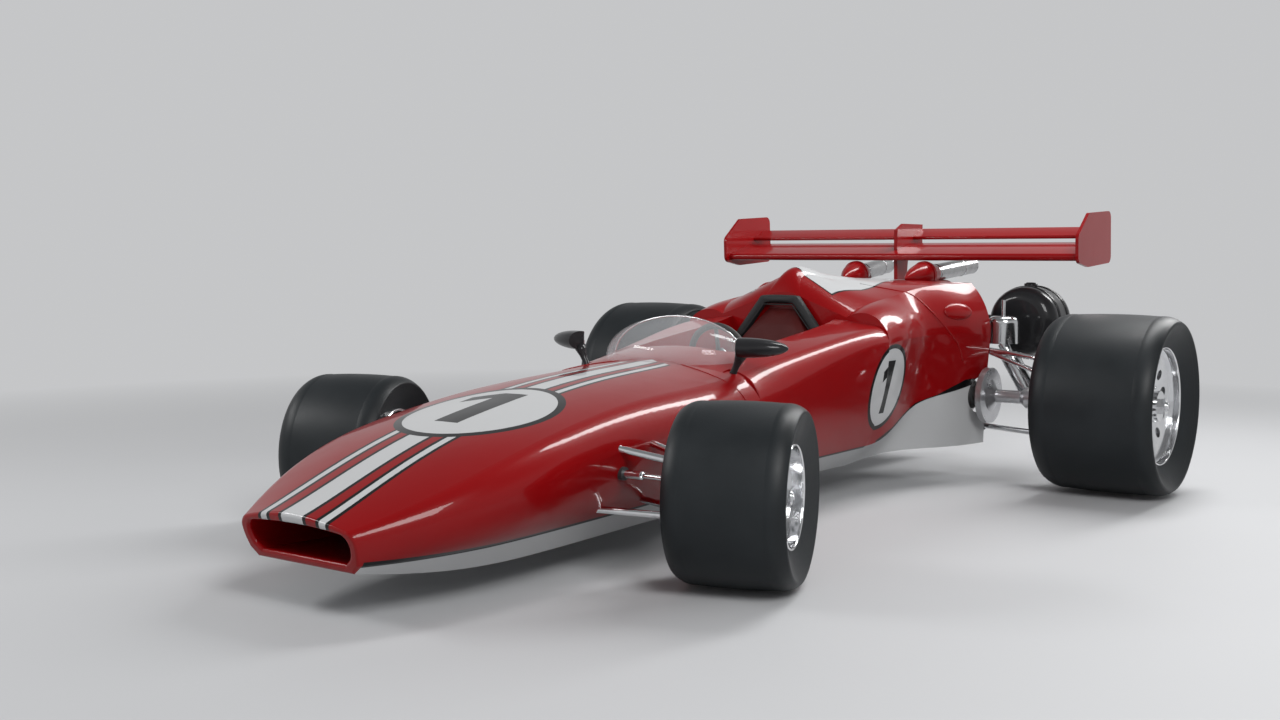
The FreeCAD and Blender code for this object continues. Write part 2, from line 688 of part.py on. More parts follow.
def pipe_line(side):
    start = Vector(side * size("blister_half"), at_back(size("blister_back")),
                   size("blister_height"))
    end = Vector(side * size("pipe_end_half"), at_back(size("pipe_end_back")),
                 size("pipe_end_height"))
    return start, end, (end - start).normalize()


def blister_solids(side):
    """A drop-shaped fairing with a rim and a collar, and the bore for its pipe."""
    start, end, way = pipe_line(side)
    up = (Vector(0, 0, 1) - way * way.z).normalize()
    radius, nose, rim = size("blister_radius"), size("blister_nose"), size("blister_rim")
    rim_end = size("blister_rim_length")
    tip = rim_end + size("collar_length")
    neck = size("pipe_radius") + size("collar_wall")

    def point(along_way, out):
        return start + way * along_way + up * out

    ogive = Part.Arc(point(-nose, 0), point(-nose / 2, radius * math.sqrt(0.5)),
                     point(0, radius))
    corners = [point(0, radius), point(0, radius + rim), point(rim_end, radius + rim),
               point(rim_end, radius), point(tip, neck), point(tip, 0), point(-nose, 0)]
    lines = [Part.makeLine(*pair) for pair in zip(corners, corners[1:])]
    profile = Part.Face(Part.Wire([ogive.toShape()] + lines))
    blister = profile.revolve(start, way, 360)
    bore = Part.makeCylinder(size("pipe_radius"), tip * 2,
                             start + way * size("pipe_bore_start"), way)
    return blister, bore


def shaft_hole():
    half = size("tail_half")
    return Part.makeCylinder(size("disc_hat_radius") + size("shaft_hole_gap"), 2 * half,
                             axle_point("rear", -half), Vector(1, 0, 0))


def axle_point(end, x):
    back = size("wheelbase") if end == "rear" else 0.0
    return Vector(x, at_back(back), size(end + "_tyre_radius"))


def tail_pan():
    names, skin = [row[0] for row in COVER], size("skin")
    outer = loft([pan_section(name, 0.0, skin) for name in names])
    room = loft([pan_section(name, skin, 3 * skin) for name in names])
    front = at_back(size("bulkhead_back"))
    wide = 2 * size("tail_half")
    wall = Part.makeBox(2 * wide, 2 * skin, wide, Vector(-wide, front - skin, 0))
    last = pan_section(names[-1], skin, 3 * skin)
    last.translate(Vector(0, -skin, 0))
    behind = Part.Face(last).extrude(Vector(0, 3 * skin, 0))
    pan = outer.cut(cover_hull()).cut(room.cut(wall).fuse(behind)).cut(shaft_hole())
    node(feature("tail_pan", largest(pan)), "tail_pan")


def largest(shape):
    return max(shape.Solids, key=lambda solid: solid.Volume)


# ---------------------------------------------------------------- cockpit and soft pieces

def seat():
    rear = dim("bulkhead_back") - dim("seat_gap")
    low = dim("cockpit_floor") + dim("seat_gap")
    corners = ((dim("seat_front_back"), low, 0), (rear, low, 0), (rear, dim("seat_top"), 0),
               (dim("seat_shoulder_back"), dim("seat_shoulder_height"), 0),
               (dim("seat_lumbar_back"), dim("seat_lumbar_height"), 0),
               (dim("seat_base_rear"), dim("seat_base_height"), 0),
               (dim("seat_front_back"), dim("seat_base_height"), 0))
    side = padded("seat_side", corners, dim("seat_half") * 2)
    place(side, Vector(0, size("front_axle_y"), 0))
    gap = dim("seat_gap")
    front = ((-dim("seat_half"), low, 0), (dim("seat_half"), low, 0),
             (dim("seat_half"), dim("pad_base"), 0),
             (dim("pad_inner_low") - gap * 4, dim("pad_base"), 0),
             (dim("pad_inner_high") - gap * 4, dim("seat_top"), 0),
             (-dim("pad_inner_high") + gap * 4, dim("seat_top"), 0),
             (-dim("pad_inner_low") + gap * 4, dim("pad_base"), 0),
             (-dim("seat_half"), dim("pad_base"), 0))
    face = padded("seat_front", front, dim("bulkhead_back") * 2, "XZ_Plane")
    place(face, Vector(0, size("front_axle_y"), 0))
    both = doc.addObject("Part::MultiCommon", "seat")
    both.Shapes = [side, face]
    node(both, "seat")


def headrest_pad():
    low, high = dim("pad_outer_low"), dim("pad_outer_high")
    inner_low, inner_high = dim("pad_inner_low"), dim("pad_inner_high")
    corners = ((-low, dim("pad_base"), 0), (-inner_low, dim("pad_base"), 0),
               (-inner_high, dim("pad_inner_top"), 0), (inner_high, dim("pad_inner_top"), 0),
               (inner_low, dim("pad_base"), 0), (low, dim("pad_base"), 0),
               (high, dim("pad_top"), 0), (-high, dim("pad_top"), 0))
    pad = padded("headrest_pad", corners, dim("pad_depth"), "XZ_Plane")
    back = size("bulkhead_back") - size("seat_gap") - size("pad_depth") / 2
    node(place(pad, Vector(0, at_back(back), 0)), "headrest_pad")


def steering_wheel():
    centre = Vector(0, at_back(size("wheel_back")), size("wheel_height"))
    root = Vector(0, at_back(size("cockpit_front_back") + size("dash_wall")),
                  size("column_height"))
    way = (centre - root).normalize()
    ring = doc.addObject("Part::Torus", "wheel_ring")
    bind(ring, Radius1=dim("wheel_rim_radius"), Radius2=dim("wheel_grip_radius"))
    along(ring, centre, centre + way)
    column = cylinder("wheel_column", root, centre + way * size("wheel_grip_radius"),
                      dim("column_radius"))
    across = Vector(1, 0, 0)
    down = across.cross(way)
    spokes = []
    for index, arm in enumerate((across, across * -1, down)):
        spokes.append(cylinder("wheel_spoke_%d" % index, centre,
                               centre + arm * size("wheel_rim_radius"),
                               dim("wheel_spoke_radius")))
    whole = fuse("steering_whole", [ring, column] + spokes)
    node(cut("steering_wheel", whole, doc.getObject("dash_panel")), "steering_wheel")


def dash():
    panel = box("dash_panel", dim("dash_half") * 2, dim("dash_wall"),
                dim("dash_high") - dim("dash_low"),
                Vector(-size("dash_half"), at_back(size("cockpit_front_back")),
                       size("dash_low")))
    node(panel, "dash_panel")


def mirrors():
    """A swept pod, blunt at its stem and flat at the glass, on a stem that ends in it."""
    wide, deep, tall = size("mirror_long"), size("mirror_deep"), size("mirror_tall")
    root, centre = mirror_line(-1)
    oval = FreeCAD.Matrix()
    oval.scale(wide, deep, tall)
    globe = Part.makeSphere(1.0)
    globe.rotate(Vector(), Vector(1, 0, 0), 90)
    shell = globe.transformGeometry(oval)
    behind = Part.makeBox(4 * wide, deep, 4 * tall,
                          Vector(-2 * wide, size("mirror_glass"), -2 * tall))
    inner = Part.makeBox(wide, 4 * deep, 4 * tall,
                         Vector(size("mirror_end"), -2 * deep, -2 * tall))
    head = feature("mirror_head", shell.cut(behind).cut(inner))
    place(head, centre, Vector(0, 0, 1), -size("mirror_sweep"))
    inside = root + (centre - root) * size("mirror_stem_share")
    stem = cylinder("mirror_stem", root, inside, dim("mirror_stem_radius"))
    right = fuse("mirror_right", [head, stem])
    left = doc.addObject("Part::Mirroring", "mirror_left")
    left.Source = right
    left.Normal = Vector(1, 0, 0)
    node(group("mirrors", [left, right]), "mirrors")


# ---------------------------------------------------------------- engine, gearbox, tail

def engine():
    front = at_back(size("peak_back"))
    block = box("engine_block", dim("engine_half") * 2, dim("engine_length"),
                dim("engine_height"), Vector(-size("engine_half"), front,
                                             size("engine_low")))
    node(block, "engine_block")


def gearbox():
    start = size("peak_back") + size("engine_length")
    case = box("gearbox_case", dim("gearbox_half") * 2, dim("gearbox_length"),
               dim("gearbox_height"), Vector(-size("gearbox_half"), at_back(start),
                                             size("gearbox_low")))
    half, wall = size("final_drive_half"), size("final_drive_flange_wall")
    drive = cylinder("final_drive", axle_point("rear", -half), axle_point("rear", half),
                     dim("final_drive_radius"))
    flanges = [cylinder("final_flange_" + name, axle_point("rear", side * half),
                        axle_point("rear", side * (half - wall)),
                        dim("final_drive_flange")) for name, side in SIDES]
    rear = at_back(start + size("gearbox_length"))
    pin = cylinder("jack_pin", Vector(0, rear, size("jack_pin_height")),
                   Vector(0, rear + size("jack_pin_length"), size("jack_pin_height")),
                   dim("jack_pin_radius"))
    node(fuse("gearbox", [case, drive, pin] + flanges), "gearbox")


def exhausts():
    pipes = []
    for name, side in SIDES:
        start, end, way = pipe_line(side)
        start = start + way * size("pipe_bore_start")
        outer = cylinder("pipe_outer_" + name, start, end, dim("pipe_radius"))
        inner = cylinder("pipe_inner_" + name, start, end,
                         dim("pipe_radius") - dim("pipe_wall"))
        pipes.append(cut("pipe_" + name, outer, inner))
    node(group("exhaust_pipes", pipes), "exhaust_pipes")


def beam(name, half, back, height, radius):
    return cylinder(name, Vector(-half, at_back(back), height),
                    Vector(half, at_back(back), height), radius)


def tail_frame():
    """Cross tubes for the arms, the dampers and the drums, on posts off the gearbox."""
    radius, wall = dim("frame_beam_radius"), dim("frame_post_wall")
    can = size("damper_half") - size("damper_can_radius") - size("joint_gap")
    drum = size("drum_half") - size("drum_radius") - size("joint_gap")
    damper_beam = can_low() + size("frame_damper_rise")
    pieces = [beam("frame_arm", size("frame_arm_half"), size("frame_arm_back"),
                   size("frame_arm_height"), radius),
              beam("frame_low", size("frame_arm_half"), size("frame_low_back"),
                   size("frame_low_height"), radius),
              beam("frame_damper", can, size("damper_back"), damper_beam, radius),
              beam("frame_drum", drum, size("drum_beam_back"), size("drum_height"),
                   dim("drum_beam_radius"))]
    base = dim("gearbox_low") + dim("gearbox_height")
    front = size("frame_arm_back") - wall.value / 2
    for name, side in SIDES:
        x = side * size("frame_post_half") - wall.value / 2
        pieces.append(box("frame_post_" + name, wall,
                          dim("damper_back") - dim("frame_arm_back") + wall,
                          damper_beam - base.value,
                          Vector(x, at_back(front), base.value)))
        pieces.append(box("drum_post_" + name, wall, wall,
                          dim("deck_tail_top") - dim("skin") - base,
                          Vector(x, at_back(size("drum_beam_back")) - wall.value / 2,
                                 base.value)))
    whole = fuse("tail_frame_whole", pieces)
    node(cut("tail_frame", whole, doc.getObject("gearbox")), "tail_frame")


def oil_drums():
    drums = []
    for name, side in SIDES:
        length, radius, bend = dim("drum_length"), dim("drum_radius"), dim("drum_round")
        zero = Dim(0.0, "0")
        corners = ((zero, zero, 0), (zero, radius - bend, bend),
                   (bend, radius, 0), (length - bend, radius, bend),
                   (length, radius - bend, 0), (length, zero, 0))
        drum = revolved("oil_drum_" + name, corners)
        place(drum, Vector(side * size("drum_half"), at_back(size("drum_back")),
                           size("drum_height")), Vector(0, 0, 1), 90.0)
        drums.append(drum)
    node(group("oil_drums", drums), "oil_drums")


# ---------------------------------------------------------------- rear wing

def aerofoil(label, half, piece):
    """A wing element padded along X: round nose, cambered faces, thin rear edge."""
    chord, nose = dim(piece + "_chord"), dim(piece + "_nose")
    upper, lower = dim(piece + "_upper"), dim(piece + "_lower")
    edge = dim(piece + "_edge")
    corners = ((nose, -lower, -dim(piece + "_lower_arc")), (chord, -edge, 0),
               (chord, Dim(0.0, "0"), dim(piece + "_upper_arc") * -1.0),
               (nose, upper, dim(piece + "_nose_arc") * -1.0))
    body = padded(label, corners, half * 2)
    place(body, Vector(0, at_back(size(piece + "_lead_back")),
                       size(piece + "_lead_height")), Vector(1, 0, 0),
          size(piece + "_pitch"))
    return node(body, label)


def corner_points(rows):
    return [(dim(row[0] + "_back"), dim(row[0] + "_height"), 0) for row in rows]


def rear_wing():
    wing = aerofoil("wing_main", dim("wing_half"), "wing")
    flap = aerofoil("wing_flap", dim("wing_half"), "flap")
    plates = []
    for name, side in SIDES:
        plate = padded("end_plate_" + name, corner_points(PLATE), dim("plate_wall"))
        round_edges(plate, "end_plate_round_" + name, dim("plate_corner"),
                    lambda edge: abs(edge.BoundBox.XLength - size("plate_wall")) < NEAR
                    and edge.BoundBox.YLength < NEAR)
        place(plate, Vector(side * (size("wing_half") + size("plate_wall") / 2),
                            size("front_axle_y"), 0))
        plates.append(plate)
    node(group("end_plates", plates), "end_plates")
    deck = dim("deck_tail_top")
    foot = [(dim("pylon_foot_front_back"), deck, 0), (dim("pylon_foot_rear_back"), deck, 0)]
    blade = padded("pylon_blade", foot + corner_points(PYLON), dim("pylon_wall"))
    place(blade, Vector(0, size("front_axle_y"), 0))
    both = fuse("wing_elements", [wing, flap])
    node(cut("wing_pylon", blade, both), "wing_pylon")


# ---------------------------------------------------------------- wheels

def wheel_pieces(end):
    """Corners of the tyre, rim and nut, measured along the axle from the wheel's middle."""
    half = dim(end + "_tyre_width") / 2
    tyre, bead = dim(end + "_tyre_radius"), dim(end + "_bead_radius")
    wall, lip = dim(end + "_wall_radius"), half - dim(end + "_dish")
    tread = half - dim(end + "_shoulder")
    rim_of_tread = tyre - dim(end + "_crown")
    bulge = dim(end + "_shoulder_arc") * -1.0
    tyre_corners = ((lip, bead, 0), (-lip, bead, 0), (-half, wall, bulge * -1.0),
                    (-tread, rim_of_tread, dim(end + "_tread_arc")),
                    (tread, rim_of_tread, bulge * -1.0), (half, wall, 0))
    inner = bead - dim(end + "_barrel_wall")
    web = half - dim(end + "_web_depth")
    web_back = web - dim(end + "_web_wall")
    cone = dim(end + "_web_cone")
    hub, stand = dim(end + "_hub_radius"), web + dim(end + "_hub_stand")
    foot = web_back - dim(end + "_hub_inset")
    shaft = dim("half_shaft_radius") if end == "rear" else dim("front_stub_radius")
    bore = shaft + dim("bearing_gap")
    rim_corners = ((foot, bore, 0), (stand, bore, 0), (stand, hub, 0), (web, hub, 0),
                   (web + cone, inner, 0), (lip, inner, 0), (lip, bead, 0), (-lip, bead, 0),
                   (-lip, inner, 0), (web_back + cone, inner, 0), (web_back, hub, 0),
                   (foot, hub, 0))
    return tyre_corners, rim_corners, stand, foot


def wheel(end, name, side, centre, angle):
    tyre_corners, rim_corners, stand, foot = wheel_pieces(end)
    tag = end + "_" + name
    tyre = revolved("tyre_" + tag, tyre_corners)
    radius = size(end + "_wall_radius")
    half = size(end + "_tyre_width") / 2
    round_edges(tyre, "tyre_round_" + tag, dim(end + "_wall_round"),
                lambda edge: abs(edge.BoundBox.ZLength / 2 - radius) < NEAR
                and edge.BoundBox.XLength < NEAR
                and abs(abs(edge.CenterOfMass.x) - half) < NEAR)
    rim = revolved("rim_turned_" + tag, rim_corners)
    windows(rim, end, tag)
    nut = padded("nut_" + tag, hexagon(dim(end + "_nut_radius")), dim("nut_length"))
    turned = angle if side > 0 else angle + 180.0
    for piece in (tyre, rim):
        place(piece, centre, Vector(0, 0, 1), turned)
    out = FreeCAD.Rotation(Vector(0, 0, 1), turned).multVec(
        Vector(stand.value + size("nut_length") / 2, 0, 0))
    place(nut, centre + out, Vector(0, 0, 1), turned)
    node(tyre, "tyre_" + tag)
    node(group("wheel_" + tag, [rim, nut]), "rim_" + tag)
    return stand, foot


def hexagon(radius):
    corners = []
    for index in range(6):
        angle = 60.0 * index
        corners.append((Dim(radius.value * math.cos(math.radians(angle)),
                            "(%s * cos(%r))" % (radius.text, angle)),
                        Dim(radius.value * math.sin(math.radians(angle)),
                            "(%s * sin(%r))" % (radius.text, angle)), 0))
    return corners


def windows(rim, end, tag):
    """A ring of round holes through the web, patterned about the axle."""
    hub, bead = size(end + "_hub_radius"), size(end + "_bead_radius")
    pitch = (dim(end + "_hub_radius") + dim(end + "_bead_radius")
             - dim(end + "_barrel_wall")) / 2
    sketch = sketch_on(rim, "YZ_Plane", "window_" + tag)
    circle = sketch.addGeometry(Part.Circle(Vector(0, pitch.value, 0), Vector(0, 0, 1),
                                            size(end + "_window_radius")), False)
    sketch.addConstraint(Sketcher.Constraint("PointOnObject", circle, 3, -2))
    mark = sketch.addConstraint(Sketcher.Constraint("DistanceY", -1, 1, circle, 3,
                                                    pitch.value))
    sketch.setExpression("Constraints[%d]" % mark, pitch.text)
    mark = sketch.addConstraint(Sketcher.Constraint("Radius", circle,
                                                    size(end + "_window_radius")))
    sketch.setExpression("Constraints[%d]" % mark, "Sizes.%s_window_radius" % end)
    doc.recompute()
    before = rim.Tip.Shape.Volume
    pocket = rim.newObject("PartDesign::Pocket", "window_cut_" + tag)
    pocket.Profile = sketch
    bind(pocket, Length=dim(end + "_tyre_width"))
    pocket.Midplane = True
    sketch.Visibility = False
    doc.recompute()
    ring = rim.newObject("PartDesign::PolarPattern", "window_ring_" + tag)
    ring.Originals = [pocket]
    ring.Axis = (sketch, ["N_Axis"])
    ring.Angle = 360.0
    bind(ring, Occurrences=dim("window_count"))
    rim.Tip = ring
    doc.recompute()
    if not rim.Shape.Volume < before:
        raise RuntimeError("the windows of " + tag + " cut nothing")


def front_corner(name, side):
    """Wheel, brake disc and knuckle of one front corner, steered about the kingpin."""
    steer = size("steer_rest")
    pin = axle_point("front", side * size("kingpin_half_track"))
    turn = FreeCAD.Rotation(Vector(0, 0, 1), steer)
    centre = pin + turn.multVec(Vector(side * size("kingpin_offset"), 0, 0))
    stand, foot = wheel("front", name, side, centre, steer)
    tag = "front_" + name
    inner = foot - dim("front_brake_wall")
    bore = dim("front_stub_radius") + dim("bearing_gap")
    disc = revolved("brake_" + tag, ((inner, bore, 0), (foot, bore, 0),
                                     (foot, dim("front_brake_radius"), 0),
                                     (inner, dim("front_brake_radius"), 0)))
    place(disc, centre, Vector(0, 0, 1), steer if side > 0 else steer + 180.0)
    node(disc, "brake_" + tag)
    knuckle(name, side, pin, steer, stand, inner)


def knuckle(name, side, pin, steer, stand, disc_face):
    offset, gap = dim("kingpin_offset"), dim("joint_gap")
    low = dim("lower_joint_rise") + dim("ball_half") + gap
    high = dim("upper_joint_rise") - dim("ball_half") - gap
    wall, depth = dim("upright_wall"), dim("upright_depth")
    post = box("post_" + name, wall, depth, high - low,
               Vector(-wall.value / 2, -depth.value / 2, low.value))
    end = (offset + stand - dim("shaft_end_gap")).value
    stub = cylinder("stub_" + name, Vector(0, 0, 0), Vector(side * end, 0, 0),
                    dim("front_stub_radius"))
    width, reach = dim("steer_arm_width"), dim("steer_arm_reach")
    arm = box("arm_" + name, width, reach, dim("steer_arm_wall"),
              Vector(-width.value / 2, -reach.value, size("steer_arm_rise")))
    eye = cylinder("eye_" + name, Vector(0, -reach.value, size("steer_arm_rise")),
                   Vector(0, -reach.value, size("steer_arm_rise")
                          + size("steer_arm_wall")), width / 2)
    middle = offset + disc_face + dim("front_brake_wall") / 2
    half_slot = dim("front_brake_wall") / 2 + dim("pad_gap")
    clamp = box("caliper_" + name, dim("caliper_width"),
                dim("caliper_outer") - dim("caliper_inner"), dim("caliper_height"),
                Vector(side * middle.value - size("caliper_width") / 2,
                       size("caliper_inner"), -size("caliper_height") / 2))
    slot = cylinder("slot_" + name, Vector(side * (middle - half_slot).value, 0, 0),
                    Vector(side * (middle + half_slot).value, 0, 0),
                    dim("front_brake_radius") + dim("pad_gap"))
    clamp = cut("caliper_cut_" + name, clamp, slot)
    inboard, low_edge = middle - half_slot, -size("caliper_height") / 4
    strap = box("strap_" + name, wall / 2, dim("caliper_outer"),
                dim("caliper_height") / 2,
                Vector(min(side * inboard.value, side * (inboard - wall / 2).value), 0,
                       low_edge))
    bridge = box("bridge_" + name, inboard, depth, dim("caliper_height") / 2,
                 Vector(min(0.0, side * inboard.value), -depth.value / 2, low_edge))
    whole = fuse("knuckle_" + name, [post, stub, arm, eye, clamp, strap, bridge])
    place(whole, pin, Vector(0, 0, 1), steer)
    node(whole, "knuckle_front_" + name)


def steering_rack():
    shift = size("steer_arm_reach") * math.sin(math.radians(size("steer_rest")))
    half = size("rack_half_length")
    bar = cylinder("rack_bar", rack_point(shift - half), rack_point(shift + half),
                   dim("rack_radius"))
    pieces = [bar]
    for name, side in SIDES:
        swing = math.radians(size("steer_rest"))
        outer = axle_point("front", side * size("kingpin_half_track")) + Vector(
            size("steer_arm_reach") * math.sin(swing),
            -size("steer_arm_reach") * math.cos(swing),
            size("steer_arm_rise") + size("steer_arm_wall") + size("tie_eye_half")
            + size("joint_gap"))
        root = rack_point(shift + side * half)
        pieces.append(cylinder("tie_rod_" + name, root, outer, dim("tie_rod_radius")))
        pieces.append(eye("tie_eye_" + name, outer, "tie_eye"))
        pieces.append(ball("rack_ball_" + name, root, dim("rack_radius")))
    node(fuse("steering_rack", pieces), "steering_rack")
    reach = size("rack_tube_half")
    outer = cylinder("rack_tube_outer", rack_point(-reach), rack_point(reach),
                     dim("rack_tube_radius"))
    inner = cylinder("rack_tube_inner", rack_point(-reach), rack_point(reach),
                     dim("rack_radius") + dim("rack_gap"))
    node(cut("rack_tube", outer, inner), "rack_tube")


def eye(name, centre, kind):
    """An upright round eye about a joint's centre."""
    half = Vector(0, 0, size(kind + "_half"))
    return cylinder(name, centre - half, centre + half, dim(kind + "_radius"))


def front_arms():
    for name, side in SIDES:
        arms = []
        for level in ("upper", "lower"):
            joint = arm_line(level, "front", side)[1]
            pieces = [eye("ball_%s_%s" % (level, name), joint, "ball")]
            for leg in ("front", "rear"):
                pieces.append(cylinder("leg_%s_%s_%s" % (level, leg, name),
                                       *arm_line(level, leg, side), dim("arm_radius")))
            arms.append(fuse("%s_arm_%s" % (level, name), pieces))
        node(group("front_arms_" + name, arms), "front_arms_" + name)


# ---------------------------------------------------------------- rear corners

def rear_corner(name, side):
    centre = axle_point("rear", side * size("rear_half_track"))
    stand, foot = wheel("rear", name, side, centre, 0.0)
    track = dim("rear_half_track")
    start = dim("final_drive_half") + dim("shaft_end_gap")
    face = dim("rear_disc_half") - dim("rear_disc_wall") / 2
    shaft, hat = dim("half_shaft_radius"), dim("disc_hat_radius")
    cup = dim("joint_housing_radius")
    cup_start = dim("joint_housing_half") - dim("joint_housing_length") / 2
    cup_end = cup_start + dim("joint_housing_length")
    zero = Dim(0.0, "0")
    disc = dim("rear_disc_radius")
    corners = ((start, zero, 0), (start, shaft, 0), (face, hat, 0), (face, disc, 0),
               (face + dim("rear_disc_wall"), disc, 0),
               (face + dim("rear_disc_wall"), hat, 0),
               (face + dim("rear_disc_wall") * 2, shaft, 0), (cup_start, shaft, 0),
               (cup_start + cup / 2, cup, 0), (cup_end, cup, 0), (cup_end, shaft, 0),
               (track + stand - dim("shaft_end_gap"), shaft, 0),
               (track + stand - dim("shaft_end_gap"), zero, 0))
    drive = revolved("half_shaft_" + name, corners)
    place(drive, axle_point("rear", 0.0), Vector(0, 0, 1), 0.0 if side > 0 else 180.0)
    node(drive, "half_shaft_" + name)
    rear_upright(name, side)
    rear_links(name, side)
    damper(name, side)


def rear_upright(name, side):
    half, wall = size("rear_upright_half"), size("rear_upright_wall")
    centre = axle_point("rear", side * half)
    inner = Vector(side * wall / 2, 0, 0)
    boss = cylinder("boss_" + name, centre - inner, centre + inner,
                    dim("rear_upright_radius"))
    width = size("rear_post_width")
    post = box("rear_post_" + name, dim("rear_upright_wall"), dim("rear_post_width"),
               dim("rear_top_height") - dim("rear_low_height"),
               Vector(side * half - wall / 2, centre.y - width / 2,
                      size("rear_low_height")))
    whole = fuse("rear_upright_whole_" + name, [boss, post])
    bore = cylinder("rear_bore_" + name, centre - inner * 2, centre + inner * 2,
                    dim("half_shaft_radius") + dim("bearing_gap"))
    node(cut("upright_rear_" + name, whole, bore), "upright_rear_" + name)


def rear_links(name, side):
    outer = side * (size("rear_upright_half") - size("rear_upright_wall") / 2)
    inner = side * (size("frame_arm_half") - size("frame_beam_radius"))
    axle, beam_radius = at_back(size("wheelbase")), size("frame_beam_radius")
    arm_root = Vector(inner, at_back(size("frame_arm_back")), size("frame_arm_height"))
    low_root = Vector(inner, at_back(size("frame_low_back")), size("frame_low_height"))
    pieces = [
        cylinder("rear_top_" + name, arm_root, Vector(
            outer, axle, size("rear_top_height") - beam_radius), dim("rear_arm_radius")),
        cylinder("rear_toe_" + name, arm_root, Vector(
            outer, axle, size("rear_link_height")), dim("rear_link_radius")),
        cylinder("rear_low_" + name, low_root, Vector(
            outer, axle, size("rear_low_height") + beam_radius), dim("rear_arm_radius"))]
    whole = fuse("rear_links_whole_" + name, pieces)
    carriers = fuse("rear_carriers_" + name, [doc.getObject("tail_frame"),
                                              doc.getObject("upright_rear_" + name)])
    node(cut("rear_links_" + name, whole, carriers), "rear_links_" + name)


def can_low():
    """The damper's can stands clear above the upper link."""
    return size("frame_arm_height") + size("rear_arm_radius") + size("damper_can_gap")


def damper(name, side):
    top = Vector(side * size("damper_half"), at_back(size("damper_back")), can_low())
    length = size("damper_can_length")
    can = cylinder("damper_can_" + name, top, top + Vector(0, 0, length),
                   dim("damper_can_radius"))
    round_top = doc.addObject("Part::Fillet", "damper_dome_" + name)
    round_top.Base = can
    doc.recompute()
    marks = [index + 1 for index, edge in enumerate(can.Shape.Edges)
             if edge.BoundBox.ZLength < NEAR and edge.CenterOfMass.z > top.z + length / 2]
    round_top.Edges = [(mark, size("damper_dome"), size("damper_dome")) for mark in marks]
    rod = cylinder("damper_rod_" + name, top + Vector(0, 0, length),
                   top + Vector(0, 0, length + size("damper_rod_length")),
                   dim("damper_rod_radius"))
    foot = Vector(side * size("damper_foot_half"), at_back(size("damper_foot_back")),
                  size("damper_foot_height"))
    way = (foot - top).normalize()
    strut = cylinder("damper_strut_" + name, top, foot, dim("strut_radius"))
    spring = cylinder("damper_spring_" + name, top + way * size("spring_start"),
                      top + way * (size("spring_start") + size("spring_length")),
                      dim("spring_radius"))
    lug = cylinder("damper_lug_" + name, foot, Vector(
        side * size("rear_upright_half"), foot.y, foot.z), dim("rear_link_radius"))
    tie = cylinder("damper_tie_" + name, lug_end(side, foot), Vector(
        side * size("rear_upright_half"), at_back(size("wheelbase")), foot.z),
        dim("rear_link_radius"))
    whole = fuse("damper_whole_" + name, [round_top, rod, strut, spring, lug, tie])
    node(cut("damper_" + name, whole, doc.getObject("upright_rear_" + name)),
         "damper_" + name)


def lug_end(side, foot):
    return Vector(side * size("rear_upright_half"), foot.y, foot.z)


# ---------------------------------------------------------------- the whole car

def build():
    nose_hull, tub_hull = nose_cone(), tub()
    windscreen(nose_hull, tub_hull)
    engine_cover()
    tail_pan()
    node(feature("radiator", radiator_block()), "radiator")
    seat()
    headrest_pad()
    dash()
    steering_wheel()
    mirrors()
    engine()
    gearbox()
    exhausts()
    tail_frame()
    oil_drums()
    rear_wing()
    front_arms()
    steering_rack()
    for name, side in SIDES:
        front_corner(name, side)
        rear_corner(name, side)


def write():
    doc.recompute()
    for item in doc.Objects:
        if "Invalid" in item.State or "Error" in item.State:
            raise RuntimeError("%s did not build: %s" % (item.Label, item.State))
    os.makedirs("parts", exist_ok=True)
    for item in NODES:
        if item.Shape.isNull() or not item.Shape.isValid() or not item.Shape.Solids:
            raise RuntimeError(item.Label + " has no valid solid")
        item.Shape.exportStep("parts/%s.step" % item.Label)


build()
write()
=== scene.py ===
# %% [markdown]
# # An open wheel racing car
# The car was drawn in a CAD tool and packed as a fixed frame: every CAD piece is already
# in place, in metres. This lesson dresses that frame: it gives each surface a material and
# adds the small forms that CAD leaves out. The nose points along -Y, the car's left side is
# +X, and +Z is up.

# %% Load the frame
import json
import math

import bmesh
import bpy
from mathutils import Matrix, Vector


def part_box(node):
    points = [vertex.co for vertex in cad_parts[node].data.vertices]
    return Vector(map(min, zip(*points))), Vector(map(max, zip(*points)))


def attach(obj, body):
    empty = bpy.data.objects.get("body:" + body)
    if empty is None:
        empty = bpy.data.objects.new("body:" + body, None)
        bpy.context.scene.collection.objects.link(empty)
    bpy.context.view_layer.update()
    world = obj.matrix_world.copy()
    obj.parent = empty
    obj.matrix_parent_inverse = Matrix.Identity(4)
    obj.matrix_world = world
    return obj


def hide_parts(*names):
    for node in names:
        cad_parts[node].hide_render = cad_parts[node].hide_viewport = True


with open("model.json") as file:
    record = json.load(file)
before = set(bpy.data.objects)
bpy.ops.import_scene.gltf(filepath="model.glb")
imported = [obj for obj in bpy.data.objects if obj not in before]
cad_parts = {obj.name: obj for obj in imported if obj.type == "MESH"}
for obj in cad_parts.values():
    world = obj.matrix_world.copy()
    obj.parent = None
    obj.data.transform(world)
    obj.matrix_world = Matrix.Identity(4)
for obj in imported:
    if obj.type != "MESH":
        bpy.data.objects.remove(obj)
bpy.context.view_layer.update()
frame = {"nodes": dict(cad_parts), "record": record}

NODES = frame["nodes"]
AXLE_Y = -1.020
WHEELBASE = 2.350
FRONT_AXLE_Z = 0.2835
REAR_AXLE_Z = 0.3765
STEER = math.radians(18.5)
SIDES = (("left", 1.0), ("right", -1.0))
UP = (0, 0, 1)
REARWARDS = (0, 1, 0)
print("pieces in the frame:", len(NODES))


def back(metres):
    """Row-frame Y of a distance behind the front axle."""
    return AXLE_Y + metres


